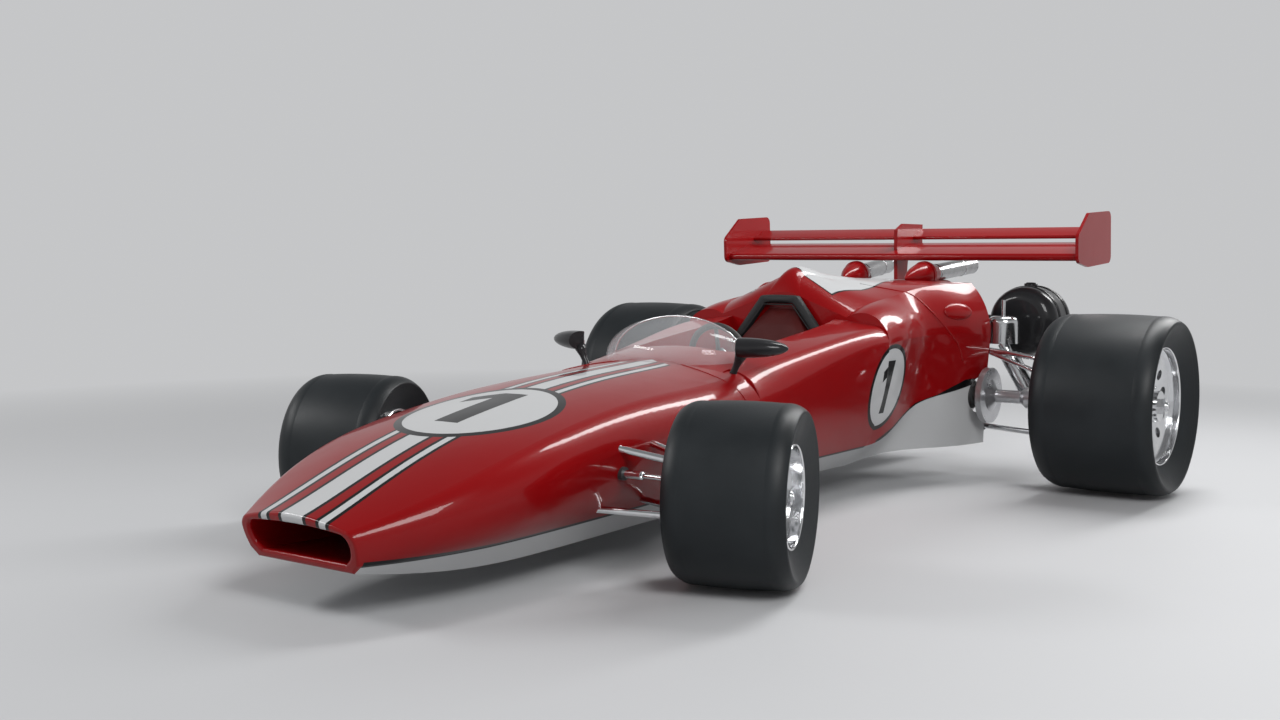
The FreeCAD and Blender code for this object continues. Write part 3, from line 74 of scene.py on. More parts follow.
# %% [markdown]
# ## Camera
# The camera stands ahead of the car and to its left, a metre up, and looks slightly down.
# From there the wedge nose, the open cockpit and the high wing can all be read at once. A
# 39 mm lens on a 36 mm sensor sees them about as an eye would.

# %% Camera
LOOK_DOWN, LOOK_ROUND = 4.37, 36.40


def add_object(name, data):
    """A new object in the scene, at the origin."""
    item = bpy.data.objects.new(name, data)
    bpy.context.scene.collection.objects.link(item)
    return item


eye = add_object("camera", bpy.data.cameras.new("camera"))
eye.data.lens = 39.01
eye.data.sensor_width = 36.0
eye.data.clip_end = 200.0
eye.location = (2.980, -4.465, 0.996)
eye.rotation_euler = (math.radians(90.0 - LOOK_DOWN), 0.0, math.radians(LOOK_ROUND))
bpy.context.scene.camera = eye
print("camera at", tuple(round(v, 3) for v in eye.location))

# %% [markdown]
# ## Shader arithmetic
# A pattern such as a stripe is a sum: "white where the distance from the middle is under
# 44 mm". Node editors spell each step as a Math node. This small class lets the lesson
# write the same thing as a Python expression, and adds the nodes behind it.

# %% A value on a surface
PAINT_EDGE = 0.0008  # how far one colour blends into the next, in metres


class Value:
    """One number that varies over a surface, with ordinary arithmetic."""

    def __init__(self, paint, socket):
        self.paint, self.socket = paint, socket

    def math(self, operation, *others, clamp=False):
        inputs = dict(enumerate((self,) + others))
        return self.paint.node("ShaderNodeMath", {"operation": operation,
                                                  "use_clamp": clamp}, inputs)

    def __add__(self, other):
        return self.math("ADD", other)

    __radd__ = __add__

    def __sub__(self, other):
        return self.math("SUBTRACT", other)

    def __rsub__(self, other):
        return self.math("MULTIPLY_ADD", -1.0, other)

    def __mul__(self, other):
        return self.math("MULTIPLY", other)

    __rmul__ = __mul__

    def __truediv__(self, other):
        return self.math("DIVIDE", other)

    def __neg__(self):
        return self * -1.0

    def __abs__(self):
        return self.math("ABSOLUTE")

    def squared(self):
        return self.math("POWER", 2.0)

    def root(self):
        return self.math("SQRT")

    def sine(self):
        return self.math("SINE")

    def sign(self):
        return self.math("SIGN")

    def over(self, limit, soft=PAINT_EDGE):
        """1 where this is over the limit, 0 under it, with a soft step between."""
        return ((self - limit) / soft + 0.5).math("ADD", 0.0, clamp=True)

    def under(self, limit, soft=PAINT_EDGE):
        return 1.0 - self.over(limit, soft)

    def within(self, low, high):
        return self.over(low) * self.under(high)

    def either(self, other):
        return self.math("MAXIMUM", other)


print("soft edge of a painted line:", PAINT_EDGE, "m")


# %% Distance and slope
def distance(across, up):
    """How far a point lies from where both of its coordinates are 0."""
    return (across.squared() + up.squared()).root()


def rise(value, knee, slope):
    """0 up to the knee, and from there a straight line of that slope."""
    return (value - knee).math("MAXIMUM", 0.0) * slope


print("patterns can now use distances and bent lines")

# %% [markdown]
# ## A material in the making
# Each material is one Principled shader. Numbers that are the same all over are set on
# its own sockets; patterns are nodes that feed Base Color, Roughness, Normal or Alpha.
# They all start from Object coordinates, which are metres in the car's own frame.


# %% The Paint class
class Paint:
    """A material being mixed: one Principled shader and whatever feeds it."""

    def __init__(self, name, **fixed):
        self.material = bpy.data.materials.new(name)
        self.material.use_nodes = True
        self.tree = self.material.node_tree
        self.shader = self.tree.nodes["Principled BSDF"]
        for socket, value in fixed.items():
            self.shader.inputs[socket.replace("_", " ")].default_value = value
        self.where = self.axes = None

    def node(self, kind, settings=None, inputs=None, output=0):
        """Any node: its settings first, then what its sockets are given."""
        item = self.tree.nodes.new(kind)
        for key, value in (settings or {}).items():
            setattr(item, key, value)
        for key, value in (inputs or {}).items():
            if isinstance(value, Value):
                self.tree.links.new(value.socket, item.inputs[key])
            else:
                item.inputs[key].default_value = value
        return Value(self, item.outputs[output])

    def feed(self, socket, value):
        self.tree.links.new(value.socket, self.shader.inputs[socket])

    def split(self, vector):
        """The three numbers of a vector."""
        item = self.node("ShaderNodeSeparateXYZ", inputs={0: vector}).socket.node
        return [Value(self, item.outputs[index]) for index in range(3)]

    def place(self):
        """The point's own X, Y and Z in metres, from Object coordinates."""
        if self.axes is None:
            self.where = self.node("ShaderNodeTexCoord", output=3)  # output 3 is Object
            self.axes = self.split(self.where)
        return self.axes

    def noise(self, scale, detail=3.0):
        self.place()
        return self.node("ShaderNodeTexNoise", inputs={
            "Vector": self.where, "Scale": scale, "Detail": detail})

    def mix(self, amount, first, second):
        """The first colour where amount is 0, the second where it is 1."""
        return self.node("ShaderNodeMix", {"data_type": "RGBA"},
                         {0: amount, 6: first, 7: second}, output=2)

    def bump(self, height, depth, strength=1.0):
        self.feed("Normal", self.node("ShaderNodeBump", inputs={
            "Height": height, "Distance": depth, "Strength": strength}))


def colour(red, green, blue):
    return (red, green, blue, 1.0)


MATERIALS = {}
print("ready to mix")

# %% [markdown]
# ## Body paint
# The shell is deep red gloss with three white stripes over the nose, a white band over
# the rear cover, round number discs and a white underside. All of it is one paint job on
# one material, so the stripes run on from panel to panel without a break. It is measured
# in metres from the car's own axes: "behind" counts rearwards from the front axle, and
# "side" outwards from the middle. Each function below returns layers of paint in order: a
# mask, which is 1 where the layer goes, and its colour. A black line edges all the white.

# %% Underside and stripes
RED = colour(0.235, 0.0018, 0.003)
DEEP_RED = colour(0.205, 0.0014, 0.0024)
WHITE = colour(0.47, 0.475, 0.48)
BLACK = colour(0.004, 0.004, 0.0045)
# Where the paint changes along the car, as distances behind the front axle.
NOSE_TIP, NOSE_LIP, DUCT_MOUTH, DUCT_END = -1.006, -0.957, -0.94, -0.50
STRIPE_END, TUB_END = 0.672, 1.612


def underside(behind, side, z):
    """White under nose and tub, below a line that climbs gently rearwards."""
    lowest, climb_start, climb = 0.1668, -0.56, 0.0216
    edge = lowest + rise(behind, climb_start, climb)
    # The duct's inside and the front of its lip stay red.
    duct_floor = 0.153 - (behind - DUCT_MOUTH) * 0.087
    duct_half = 0.205 + (behind - DUCT_MOUTH) * 0.09
    duct = z.over(duct_floor) * side.under(duct_half) * behind.under(DUCT_END)
    body = behind.under(TUB_END) * behind.over(NOSE_LIP) * (1.0 - duct)
    # The black line is 9 mm wide along the tub and grows upwards towards the nose.
    tub_half = 0.0045
    half = tub_half + rise(-behind, 0.0, 0.004)
    line = abs(z - edge - half + tub_half).under(half)
    return [(z.under(edge) * body, WHITE), (line * body, BLACK)]


def stripes(behind, side, z):
    """Three stripes over the nose, which narrow rearwards and end before the cowl seam."""
    waist = 0.46 + behind * 0.2  # the stripes are painted above this height only
    sweep = 0.45  # their ends slant forwards, away from the middle
    top = z.over(waist) * (behind + side * sweep).under(STRIPE_END)
    spread = 0.121 - (behind - NOSE_TIP) * 0.0149  # from the middle to a thin stripe
    off = abs(side - spread)
    wide_half, thin_half, line = spread * 0.36, 0.0125, 0.0130
    return [(side.under(wide_half + line) * top, BLACK),
            (off.under(thin_half + line) * top, BLACK),
            (side.under(wide_half) * top, WHITE), (off.under(thin_half) * top, WHITE)]


print("the stripes end", STRIPE_END, "m behind the front axle")

# %% Rear band and lower edge
COVER_FRONT, BAND_LINE, BAND_START, FAIRINGS = 1.700, 1.7065, 1.7125, 2.43
DECK_TOP, CROWN_EDGE = 0.8765, 0.79
# The cover's lower edge: its first slope, and how much it changes at each knee.
HEM_START, HEM_SLOPE = 1.710, 0.333
HEM_BENDS = ((1.83, 0.230), (1.99, -0.296), (2.17, -0.067), (2.29, -0.055))
FLANK = 0.30  # what lies further out than this is painted from the side


def rear_band(behind, side, z):
    """The white band over the rear cover; the exhaust fairings above its deck stay red."""
    front = behind + side * 0.19  # the band's front edge slants like the cover's
    deck = z.under(DECK_TOP).either(behind.under(FAIRINGS))
    crown = z.over(CROWN_EDGE) * front.over(BAND_LINE) * deck
    # Widest between the two knees; it narrows ahead of the first and behind the second.
    widest, line, knees = 0.236, 0.009, (1.86, 1.98)
    half = widest - rise(-behind, -knees[0], 0.22) - rise(behind, knees[1], 0.19)
    return [(side.under(half + line) * crown, BLACK),
            (side.under(half) * crown * front.over(BAND_START), WHITE)]


def cover_hem(behind, side, z):
    """A black line along the cover's lower edge, which thickens ahead of the wheel."""
    hem = 0.222 + (behind - HEM_START) * HEM_SLOPE
    for knee, change in HEM_BENDS:
        hem = hem + rise(behind, knee, change)
    line, thicker, middle, reach = 0.010, 0.024, 2.25, 0.15
    wedge = (1.0 - abs(behind - middle) / reach).math("MAXIMUM", 0.0) * thicker
    flank = behind.over(COVER_FRONT) * side.over(FLANK)
    return [(z.under(hem + line + wedge) * flank, BLACK)]


print("bends in the cover's lower edge:", len(HEM_BENDS))


# %% Number discs
def digit_one(across, up, width, height):
    """A plain 1: a stem and a short slanted flag, centred on its stem."""
    flag_slope, flag_reach, flag_depth = 0.62, 1.45, 0.66
    stem = abs(across).under(width / 2) * abs(up).under(height / 2)
    slope = up - height / 2 - (across + width / 2) * flag_slope
    flag = (across.within(-width * flag_reach, 0.0)
            * slope.under(0.0) * slope.over(-width * flag_depth))
    return stem.either(flag * up.under(height / 2))


def number_disc(across, up, where, radius, edge, width, height, shift):
    """A white disc with a black edge, and on it a 1 of that width and height."""
    reach = distance(across, up)
    disc = reach.under(radius) * where
    one = digit_one(across + shift[0], up + shift[1], width, height) * disc
    return [(reach.under(radius + edge) * where, BLACK), (disc, WHITE), (one, BLACK)]


def nose_disc(x, behind, z):
    """Seen from above, a little ahead of the front axle."""
    return number_disc(x, behind + 0.250, z.over(0.40), radius=0.244, edge=0.026,
                       width=0.098, height=0.330, shift=(0.008, -0.018))


def flank_discs(x, behind, z):
    """Seen from the side; the sign of X turns the digit to read from either side."""
    return number_disc((behind - 1.668) * x.sign(), z - 0.455, abs(x).over(FLANK),
                       radius=0.160, edge=0.018, width=0.066, height=0.220,
                       shift=(-0.008, 0.0))


print("discs: one on the nose, one on each flank")


# %% Body paint
def gloss_paint(name, base):
    """Clear-coated paint: a little haze in its gloss, a trace of orange peel."""
    paint = Paint(name, Metallic=0.0, Coat_Weight=0.55, Coat_Roughness=0.03,
                  Coat_IOR=1.38, IOR=1.4, Specular_IOR_Level=0.12)
    paint.feed("Base Color", base(paint))
    haze = paint.noise(9.0, 4.0)
    paint.feed("Roughness", 0.26 + haze * 0.12)
    peel = paint.noise(420.0, 2.0)
    paint.bump(peel, 0.00003, 0.3)
    return paint.material


def livery(paint):
    """The whole paint job, layer on layer over the red."""
    x, y, z = paint.place()
    behind, side = y - AXLE_Y, abs(x)
    shade = paint.mix(paint.noise(3.0, 2.0), RED, DEEP_RED)
    for mask, tone in (underside(behind, side, z) + stripes(behind, side, z)
                       + rear_band(behind, side, z) + cover_hem(behind, side, z)
                       + nose_disc(x, behind, z) + flank_discs(x, behind, z)):
        shade = paint.mix(mask, shade, tone)
    return shade


def mottled(scale, detail, first, second):
    """One colour that drifts slightly into another."""
    return lambda paint: paint.mix(paint.noise(scale, detail), first, second)


for name, paint_name, base in (
        ("body_red", "body_paint", livery),
        ("wing_red", "wing_paint", mottled(3.0, 2.0, RED, DEEP_RED)),
        ("body_white", "underside_paint",
         mottled(2.5, 3.0, WHITE, colour(0.43, 0.435, 0.44))),
        ("gloss_black", "gloss_black_paint",
         mottled(6.0, 3.0, colour(0.012, 0.012, 0.013), colour(0.022, 0.022, 0.024)))):
    MATERIALS[name] = gloss_paint(paint_name, base)
print("paints mixed:", sorted(MATERIALS))

# %% [markdown]
# ## Metals
# Chrome is a metal with almost no roughness. Real plating is never perfect: faint wipe
# marks vary its gloss, and castings under it show a soft grain. Turned parts, such as
# brake discs, carry fine rings, so their bump follows the distance from the axle.

# %% Metals
METALS = {  # bright and dark tone, roughness and its spread, grain, scale of the pattern
    "chrome_tube": (colour(0.86, 0.87, 0.88), colour(0.74, 0.75, 0.77), 0.03, 0.10),
    "wheel_chrome": (colour(0.86, 0.86, 0.86), colour(0.70, 0.71, 0.73), 0.05, 0.16,
                     0.00003, 18.0),
    "exhaust_steel": (colour(0.50, 0.50, 0.51), colour(0.34, 0.335, 0.33), 0.16, 0.16),
    "damper_steel": (colour(0.66, 0.67, 0.68), colour(0.54, 0.55, 0.56), 0.14, 0.10),
    "cast_alloy": (colour(0.58, 0.58, 0.58), colour(0.42, 0.42, 0.43), 0.40, 0.20, 0.0004),
}


def metal(name, bright, dark, rough, vary, grain=0.0, scale=30.0):
    paint = Paint(name, Metallic=1.0)
    paint.feed("Base Color", paint.mix(paint.noise(scale, 4.0), bright, dark))
    paint.feed("Roughness", rough + paint.noise(scale * 0.7, 5.0) * vary)
    if grain:
        paint.bump(paint.noise(700.0, 3.0), grain)
    return paint.material


for name, recipe in METALS.items():
    MATERIALS[name] = metal(name, *recipe)


def turned_steel(name, centre_y, centre_z):
    """Steel from a lathe, with fine rings round an axle that runs along X."""
    paint = Paint(name, Metallic=1.0)
    _, y, z = paint.place()
    rings = (distance(y - centre_y, z - centre_z) * 2600.0).sine()
    blotch = paint.noise(22.0, 4.0)
    paint.feed("Base Color", paint.mix(blotch, colour(0.62, 0.62, 0.63),
                                       colour(0.44, 0.44, 0.46)))
    paint.feed("Roughness", 0.22 + blotch * 0.16)
    paint.bump(rings * 0.5 + 0.5, 0.00006)
    return paint.material


MATERIALS["brake_steel"] = turned_steel("brake_steel", back(WHEELBASE), REAR_AXLE_Z)
print("metals:", len(METALS) + 1)

# %% [markdown]
# ## Satin blacks
# The tail frame and the fittings in the cockpit are painted a dull black. Sprayed satin
# paint is grey where it is worn and has a fine grain, coarser on the moulded cockpit.


# %% Satin blacks
def satin(name, first, second, rough, bump=0.0002, scale=260.0):
    paint = Paint(name, Metallic=0.0)
    paint.feed("Base Color", paint.mix(paint.noise(14.0, 4.0), first, second))
    paint.feed("Roughness", rough + paint.noise(scale * 0.2, 3.0) * 0.15)
    paint.bump(paint.noise(scale, 3.0), bump)
    return paint.material


MATERIALS["frame_black"] = satin("frame_black", colour(0.020, 0.020, 0.021),
                                 colour(0.045, 0.045, 0.046), 0.42)
MATERIALS["cockpit_black"] = satin("cockpit_black", colour(0.018, 0.018, 0.018),
                                   colour(0.035, 0.034, 0.033), 0.55, 0.0004, 500.0)
print("materials so far:", len(MATERIALS))

# %% [markdown]
# ## Rubber
# A racing slick has no tread. Its look comes from broad soft reflections over a slightly
# uneven surface: scuffed tread, smoother walls and a faint ring where the mould parts. A
# Mapping node turns the pattern with each wheel, so the ring stays round its own axle.

# %% Rubber
# Each tyre: middle X, Y and Z, the angle that its wheel is steered by, half its width.
KINGPIN_X, STUB, REAR_TYRE_X = 0.742, 0.067, 1.166
FRONT_HALF, REAR_HALF = 0.184, 0.250
front_x = KINGPIN_X + STUB * math.cos(STEER)
front_shift = STUB * math.sin(STEER)
TYRES = {
    "tyre_front_left": (front_x, back(front_shift), FRONT_AXLE_Z, STEER, FRONT_HALF),
    "tyre_front_right": (-front_x, back(-front_shift), FRONT_AXLE_Z, STEER, FRONT_HALF),
    "tyre_rear_left": (REAR_TYRE_X, back(WHEELBASE), REAR_AXLE_Z, 0.0, REAR_HALF),
    "tyre_rear_right": (-REAR_TYRE_X, back(WHEELBASE), REAR_AXLE_Z, 0.0, REAR_HALF),
}


def slick_rubber(name, middle, turn, half):
    """Charcoal rubber; the moulded rings follow the wheel's own axle."""
    paint = Paint(name, Metallic=0.0, IOR=1.4, Specular_IOR_Level=0.38)
    paint.place()
    along, fore, up = paint.split(paint.node(
        "ShaderNodeMapping", {"vector_type": "TEXTURE"},
        {"Vector": paint.where, "Location": middle, "Rotation": (0.0, 0.0, turn)}))
    shoulder, mould_radius = half - 0.03, half + 0.06
    wall = abs(along).over(shoulder, 0.02)
    scuff = paint.noise(7.0, 6.0)
    fine = paint.noise(90.0, 4.0)
    tread = paint.mix(scuff, colour(0.0065, 0.0085, 0.0100),
                      colour(0.0165, 0.0200, 0.0225))
    paint.feed("Base Color", paint.mix(wall * 0.5, tread, colour(0.007, 0.0085, 0.0095)))
    paint.feed("Roughness", 0.32 + scuff * 0.24 + fine * 0.06 - wall * 0.04)
    mould_ring = abs(distance(fore, up) - mould_radius).under(0.0012)
    paint.bump(fine * 0.5 + mould_ring * 0.6 + scuff * 0.35, 0.0007, 0.5)
    return paint.material


print("tyre middles:", [tuple(round(v, 3) for v in TYRES[name][:3]) for name in TYRES])

# %% [markdown]
# ## Radiator, screen and leather
# The radiator's core is a wall of thin fins crossed by flat tubes. The screen is clear
# acrylic: very glossy, nearly see-through, and slightly milky where it has been polished.
# Leather has cells with creases between them, which a Voronoi pattern gives, and its
# gloss comes and goes where it is worn.


# %% Radiator, screen and leather
def radiator_core():
    paint = Paint("radiator_core", Metallic=0.6)
    x, _, z = paint.place()
    fins = (x * 2100.0).sine() * 0.5 + 0.5
    tubes = (z * 420.0).sine().over(0.55, 0.2)
    paint.feed("Base Color", paint.mix(tubes, colour(0.020, 0.020, 0.022),
                                       colour(0.075, 0.070, 0.060)))
    paint.feed("Roughness", 0.45 + paint.noise(40.0) * 0.2)
    paint.bump(fins * 0.5 + tubes, 0.002)
    return paint.material


def clear_screen():
    paint = Paint("clear_screen", Roughness=0.02, IOR=1.49, Specular_IOR_Level=0.9)
    haze = paint.noise(12.0, 4.0)
    paint.feed("Base Color", paint.mix(haze, colour(0.90, 0.92, 0.94),
                                       colour(0.78, 0.81, 0.84)))
    paint.feed("Alpha", 0.10 + haze * 0.07)
    return paint.material


def leather(name, first, second):
    paint = Paint(name, Metallic=0.0, Specular_IOR_Level=0.22)
    paint.place()
    creases = paint.node("ShaderNodeTexVoronoi", {"feature": "DISTANCE_TO_EDGE"},
                         {"Vector": paint.where, "Scale": 330.0})
    worn = paint.noise(11.0, 4.0)
    paint.feed("Base Color", paint.mix(worn, first, second))
    paint.feed("Roughness", 0.46 + worn * 0.18)
    paint.bump(creases.math("MULTIPLY", 2.0, clamp=True), 0.0007, 0.6)
    return paint.material


MATERIALS["radiator_black"] = radiator_core()
MATERIALS["clear_screen"] = clear_screen()
MATERIALS["seat_red"] = leather("seat_leather", colour(0.070, 0.0045, 0.004),
                                colour(0.046, 0.0032, 0.003))
MATERIALS["pad_black"] = leather("pad_leather", colour(0.016, 0.017, 0.018),
                                 colour(0.030, 0.031, 0.032))
print("materials:", len(MATERIALS))

# %% [markdown]
# ## Materials on the CAD nodes
# Each node in the record names a material slot, so one loop dresses the whole frame. The
# exhausts and the dampers get duller steels than the bright tubes of their slot, and each
# tyre its own rubber.

# %% Dress the nodes
SLOTS = {piece["node"]: piece["material_slot"] for piece in frame["record"]["subparts"]}
SLOTS.update(exhaust_pipes="exhaust_steel", damper_left="damper_steel",
             damper_right="damper_steel")
for name, item in NODES.items():
    if name in TYRES:
        x, y, z, turn, half = TYRES[name]
        finish = slick_rubber(name + "_rubber", (x, y, z), turn, half)
    else:
        finish = MATERIALS[SLOTS[name]]
    for slot in item.material_slots:
        slot.material = finish
print("dressed:", len(NODES), "nodes")

# %% [markdown]
# ## From a bmesh to a piece
# The small forms below are meshes made with bmesh: each starts from a circle, a cone, a
# cube or a ball and is bridged, spun, bevelled or moved into place. One helper turns the
# finished bmesh into an object that rides on its CAD body. Another gives the matrix that
# puts a form's own Z along any direction, which most of the later helpers use.


# %% Finishing helpers
WELD = 0.00001  # points closer than this, in metres, are one point


def mesh_from(name, shape):
    """The bmesh as a mesh of that name; the bmesh itself is freed."""
    mesh = bpy.data.meshes.new(name)
    shape.to_mesh(mesh)
    shape.free()
    return mesh


def finish_piece(name, shape, body, slot, smooth=True, finish=None):
    """Make the bmesh an object, give it its material and let it ride on its body."""
    bmesh.ops.recalc_face_normals(shape, faces=shape.faces)
    for face in shape.faces:
        face.smooth = smooth
    item = add_object(name, mesh_from(name, shape))
    item.data.materials.append(finish or MATERIALS[slot])
    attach(item, body)
    print(name, len(item.data.polygons), "faces")


def facing(place, way):
    """A matrix that puts local Z along way, at a place."""
    turn = Vector(way).normalized().to_track_quat("Z", "Y").to_matrix().to_4x4()
    return Matrix.Translation(Vector(place)) @ turn


print("helpers ready")

# %% [markdown]
# ## Seat and headrest
# The seat is a stuffed leather cushion, and a black padded frame stands around its upper
# half. Real padding bulges between its edges. The cloth solver shows that best: each CAD
# block is remeshed, shrunk a little, blown up by pressure and stopped a few millimetres
# out, so edges turn soft while the pad keeps its place against the tub.

# %% Cloth helpers
PRESSURE = 4.0
FRAMES = 20


def settle(item):
    """Apply the modifiers that the object carries."""
    graph = bpy.context.evaluated_depsgraph_get()
    graph.update()
    baked = bpy.data.meshes.new_from_object(item.evaluated_get(graph))
    item.modifiers.clear()
    item.data = baked


def move_out(mesh, distance):
    """Move every point along its normal."""
    shape = bmesh.new()
    shape.from_mesh(mesh)
    shape.normal_update()
    for vert, normal in [(vert, vert.normal.copy()) for vert in shape.verts]:
        vert.co += normal * distance
    shape.to_mesh(mesh)
    shape.free()


def inflate(item, swell):
    """Let the cloth solver blow the mesh up, but no point further out than swell."""
    start = [vert.co.copy() for vert in item.data.vertices]
    cloth = item.modifiers.new("cloth", "CLOTH")
    cloth.settings.use_pressure = True
    cloth.settings.uniform_pressure_force = PRESSURE
    cloth.settings.effector_weights.gravity = 0.0
    for frame_number in range(1, FRAMES + 1):
        bpy.context.scene.frame_set(frame_number)
    settle(item)
    bpy.context.scene.frame_set(1)
    for vert, old in zip(item.data.vertices, start):
        step = vert.co - old
        if step.length > swell:
            vert.co = old + step.normalized() * swell


print("cloth solver:", FRAMES, "frames at pressure", PRESSURE)


# %% Seat and headrest
def stuffed(name, node, slot, voxel, shrink, swell):
    """A padded copy of a CAD node, which stands for that node."""
    shape = bmesh.new()
    shape.from_mesh(NODES[node].data)
    bmesh.ops.remove_doubles(shape, verts=shape.verts, dist=WELD)
    item = add_object(name, mesh_from(name, shape))
    remesh = item.modifiers.new("remesh", "REMESH")
    remesh.mode, remesh.voxel_size = "VOXEL", voxel
    settle(item)
    move_out(item.data, -shrink)
    inflate(item, swell)
    for face in item.data.polygons:
        face.use_smooth = True
    item.modifiers.new("smooth", "SMOOTH").iterations = 6
    settle(item)
    item.data.materials.clear()
    item.data.materials.append(MATERIALS[slot])
    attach(item, "chassis")
    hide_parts(node)
    print(name, len(item.data.polygons), "faces")


stuffed("seat_cushion", "seat", "seat_red", voxel=0.007, shrink=0.005, swell=0.006)
stuffed("headrest_frame", "headrest_pad", "pad_black", voxel=0.005, shrink=0.004,
        swell=0.006)

# %% [markdown]
# ## Piping
# A sewn bead of leather runs along the front edge of the headrest frame, where its face
# meets the cushion. It is a thin rod along the frame's own corner points: one circle at
# each point, and each circle bridged to the next.


# %% Piping
def tube(shape, points, radius, sides=12, closed=False):
    """A round rod along a row of points: one circle at each, bridged to the next.
    The radius is one number, or a row of one for each point."""
    points = [Vector(point) for point in points]
    radii = radius if isinstance(radius, tuple) else (radius,) * len(points)
    circles = []
    for index, point in enumerate(points):
        before = points[index - 1] if index or closed else point
        after = points[(index + 1) % len(points)] if closed else points[
            min(index + 1, len(points) - 1)]
        made = bmesh.ops.create_circle(shape, cap_ends=False, radius=radii[index],
                                       segments=sides, matrix=facing(point, after - before))
        circles.append(made["verts"])
    loops = [{edge for vert in circle for edge in vert.link_edges} for circle in circles]
    following = loops[1:] + loops[:1] if closed else loops[1:]
    for first, second in zip(loops, following):
        bmesh.ops.bridge_loops(shape, edges=list(first | second))
    if not closed:
        for circle in (circles[0], circles[-1]):
            bmesh.ops.contextual_create(shape, geom=circle)


def along(rows, steps):
    """The rows, with steps - 1 more rows evenly spaced between each two."""
    fine = [tuple(a + (b - a) * step / steps for a, b in zip(first, second))
            for first, second in zip(rows, rows[1:]) for step in range(steps)]
    return fine + [tuple(rows[-1])]


HEADREST_CORNERS = ((-0.180, 0.648), (-0.069, 0.786), (0.069, 0.786), (0.180, 0.648))
piping = bmesh.new()
headrest_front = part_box("headrest_pad")[0].y - 0.0005
tube(piping, [(x, headrest_front, z) for x, z in along(HEADREST_CORNERS, 8)], 0.0024, 8)
finish_piece("headrest_piping", piping, "chassis", "pad_black")

# %% [markdown]
# ## Windscreen bead and mirrors
# A bright rolled bead edges the clear screen, and each black mirror pod holds a flat oval
# glass. The glass is a circle scaled to the pod's oval, cut where the pod is cut, and
# thickened. A moulded stalk, which widens towards the pod, hides the steel stem. A ray
# from the pod finds the painted skin below, and the stalk's foot pad lies on it.

# %% Windscreen bead
ARC_STEPS, ARC_TRIM = 60, 0.02  # the bead stops a fiftieth of the half circle early
SCREEN_HALF, SCREEN_FOOT, SCREEN_RISE = 0.2955, 0.610, 0.1535
screen_edge = bmesh.new()
arc = []
for step in range(ARC_STEPS + 1):
    turn = math.pi * (ARC_TRIM + (1.0 - 2.0 * ARC_TRIM) * step / ARC_STEPS)
    arc.append((SCREEN_HALF * math.cos(turn), back(0.8385),
                SCREEN_FOOT + SCREEN_RISE * math.sin(turn)))
tube(screen_edge, arc, 0.0028, 10)
finish_piece("screen_bead", screen_edge, "chassis", "chrome_tube")


# %% Skin and pucks
def on_skin(node, start, way):
    """Where a line from start meets a CAD node, and the way its surface faces there."""
    hit, place, normal, _ = NODES[node].ray_cast(Vector(start), Vector(way))
    if not hit:
        raise RuntimeError("no skin of %s from %s" % (node, tuple(start)))
    return place, normal


def puck(shape, place, way, radius, height, sides=24, top=None):
    """A short cylinder or cone that stands on a place and points along way."""
    middle = Vector(place) + Vector(way).normalized() * height / 2
    bmesh.ops.create_cone(shape, cap_ends=True, segments=sides, radius1=radius,
                          radius2=radius if top is None else top, depth=height,
                          matrix=facing(middle, way))


print("rays can find the skin of", len(NODES), "nodes")

# %% Mirror glasses and stalks
MIRROR_X, MIRROR_Z, STALK_X, STALK_Z = 0.378, 0.666, 0.322, 0.552
GLASS_OVAL, GLASS_CUT, GLASS_THICK = (0.146, 0.0325, 1.0), (0.020, 0, 0), 0.003
GLASS_OUT = 0.0175  # from the pod's middle to its glass
# How far up the stem each circle of the stalk is, and its radius.
STALK = ((0.08, 0.0150), (0.22, 0.0125), (0.36, 0.0120), (0.50, 0.0135), (0.64, 0.0180),
         (0.80, 0.0235))
mirror_y = back(0.704)
mirror_silver = metal("mirror_glass", colour(0.80, 0.82, 0.84), colour(0.76, 0.78, 0.80),
                      0.015, 0.02)
stand_up = Matrix.Rotation(math.radians(90.0), 4, "X")
sweep = Matrix.Rotation(math.radians(-20.0), 4, "Z")
for name, side in SIDES:
    glass = bmesh.new()
    bmesh.ops.create_circle(glass, cap_ends=True, radius=1.0, segments=64)
    bmesh.ops.scale(glass, verts=glass.verts, vec=GLASS_OVAL)
    bmesh.ops.bisect_plane(glass, geom=glass.verts[:] + glass.edges[:] + glass.faces[:],
                           plane_co=GLASS_CUT, plane_no=(1, 0, 0), clear_outer=True)
    bmesh.ops.solidify(glass, geom=glass.faces[:], thickness=GLASS_THICK)
    pod = Matrix.Translation((-MIRROR_X, mirror_y, MIRROR_Z))
    bmesh.ops.transform(glass, verts=glass.verts, matrix=pod @ sweep
                        @ Matrix.Translation((0.0, GLASS_OUT, 0.0)) @ stand_up)
    if side > 0:
        bmesh.ops.scale(glass, verts=glass.verts, vec=(-1.0, 1.0, 1.0))
    finish_piece("mirror_glass_" + name, glass, "chassis", "gloss_black", False,
                 mirror_silver)
    stalk = bmesh.new()
    foot = Vector((side * STALK_X, mirror_y, STALK_Z))
    head = Vector((side * MIRROR_X, mirror_y, MIRROR_Z))
    tube(stalk, [foot.lerp(head, part) for part, _ in STALK],
         tuple(radius for _, radius in STALK), 24)
    place, normal = on_skin("tub", foot.lerp(head, 0.9), foot - head)
    puck(stalk, place - normal * 0.002, normal, 0.0210, 0.005, 32, 0.0185)
    finish_piece("mirror_stalk_" + name, stalk, "chassis", "gloss_black")

# %% [markdown]
# ## Wheel trim
# Each wheel gets a rolled rim lip on both sides, a ring of bolts through its bell, a valve
# and a domed cap on its hub nut. They are laid out in the wheel's own frame, where X
# points outwards along the axle, and one matrix takes them to the car.


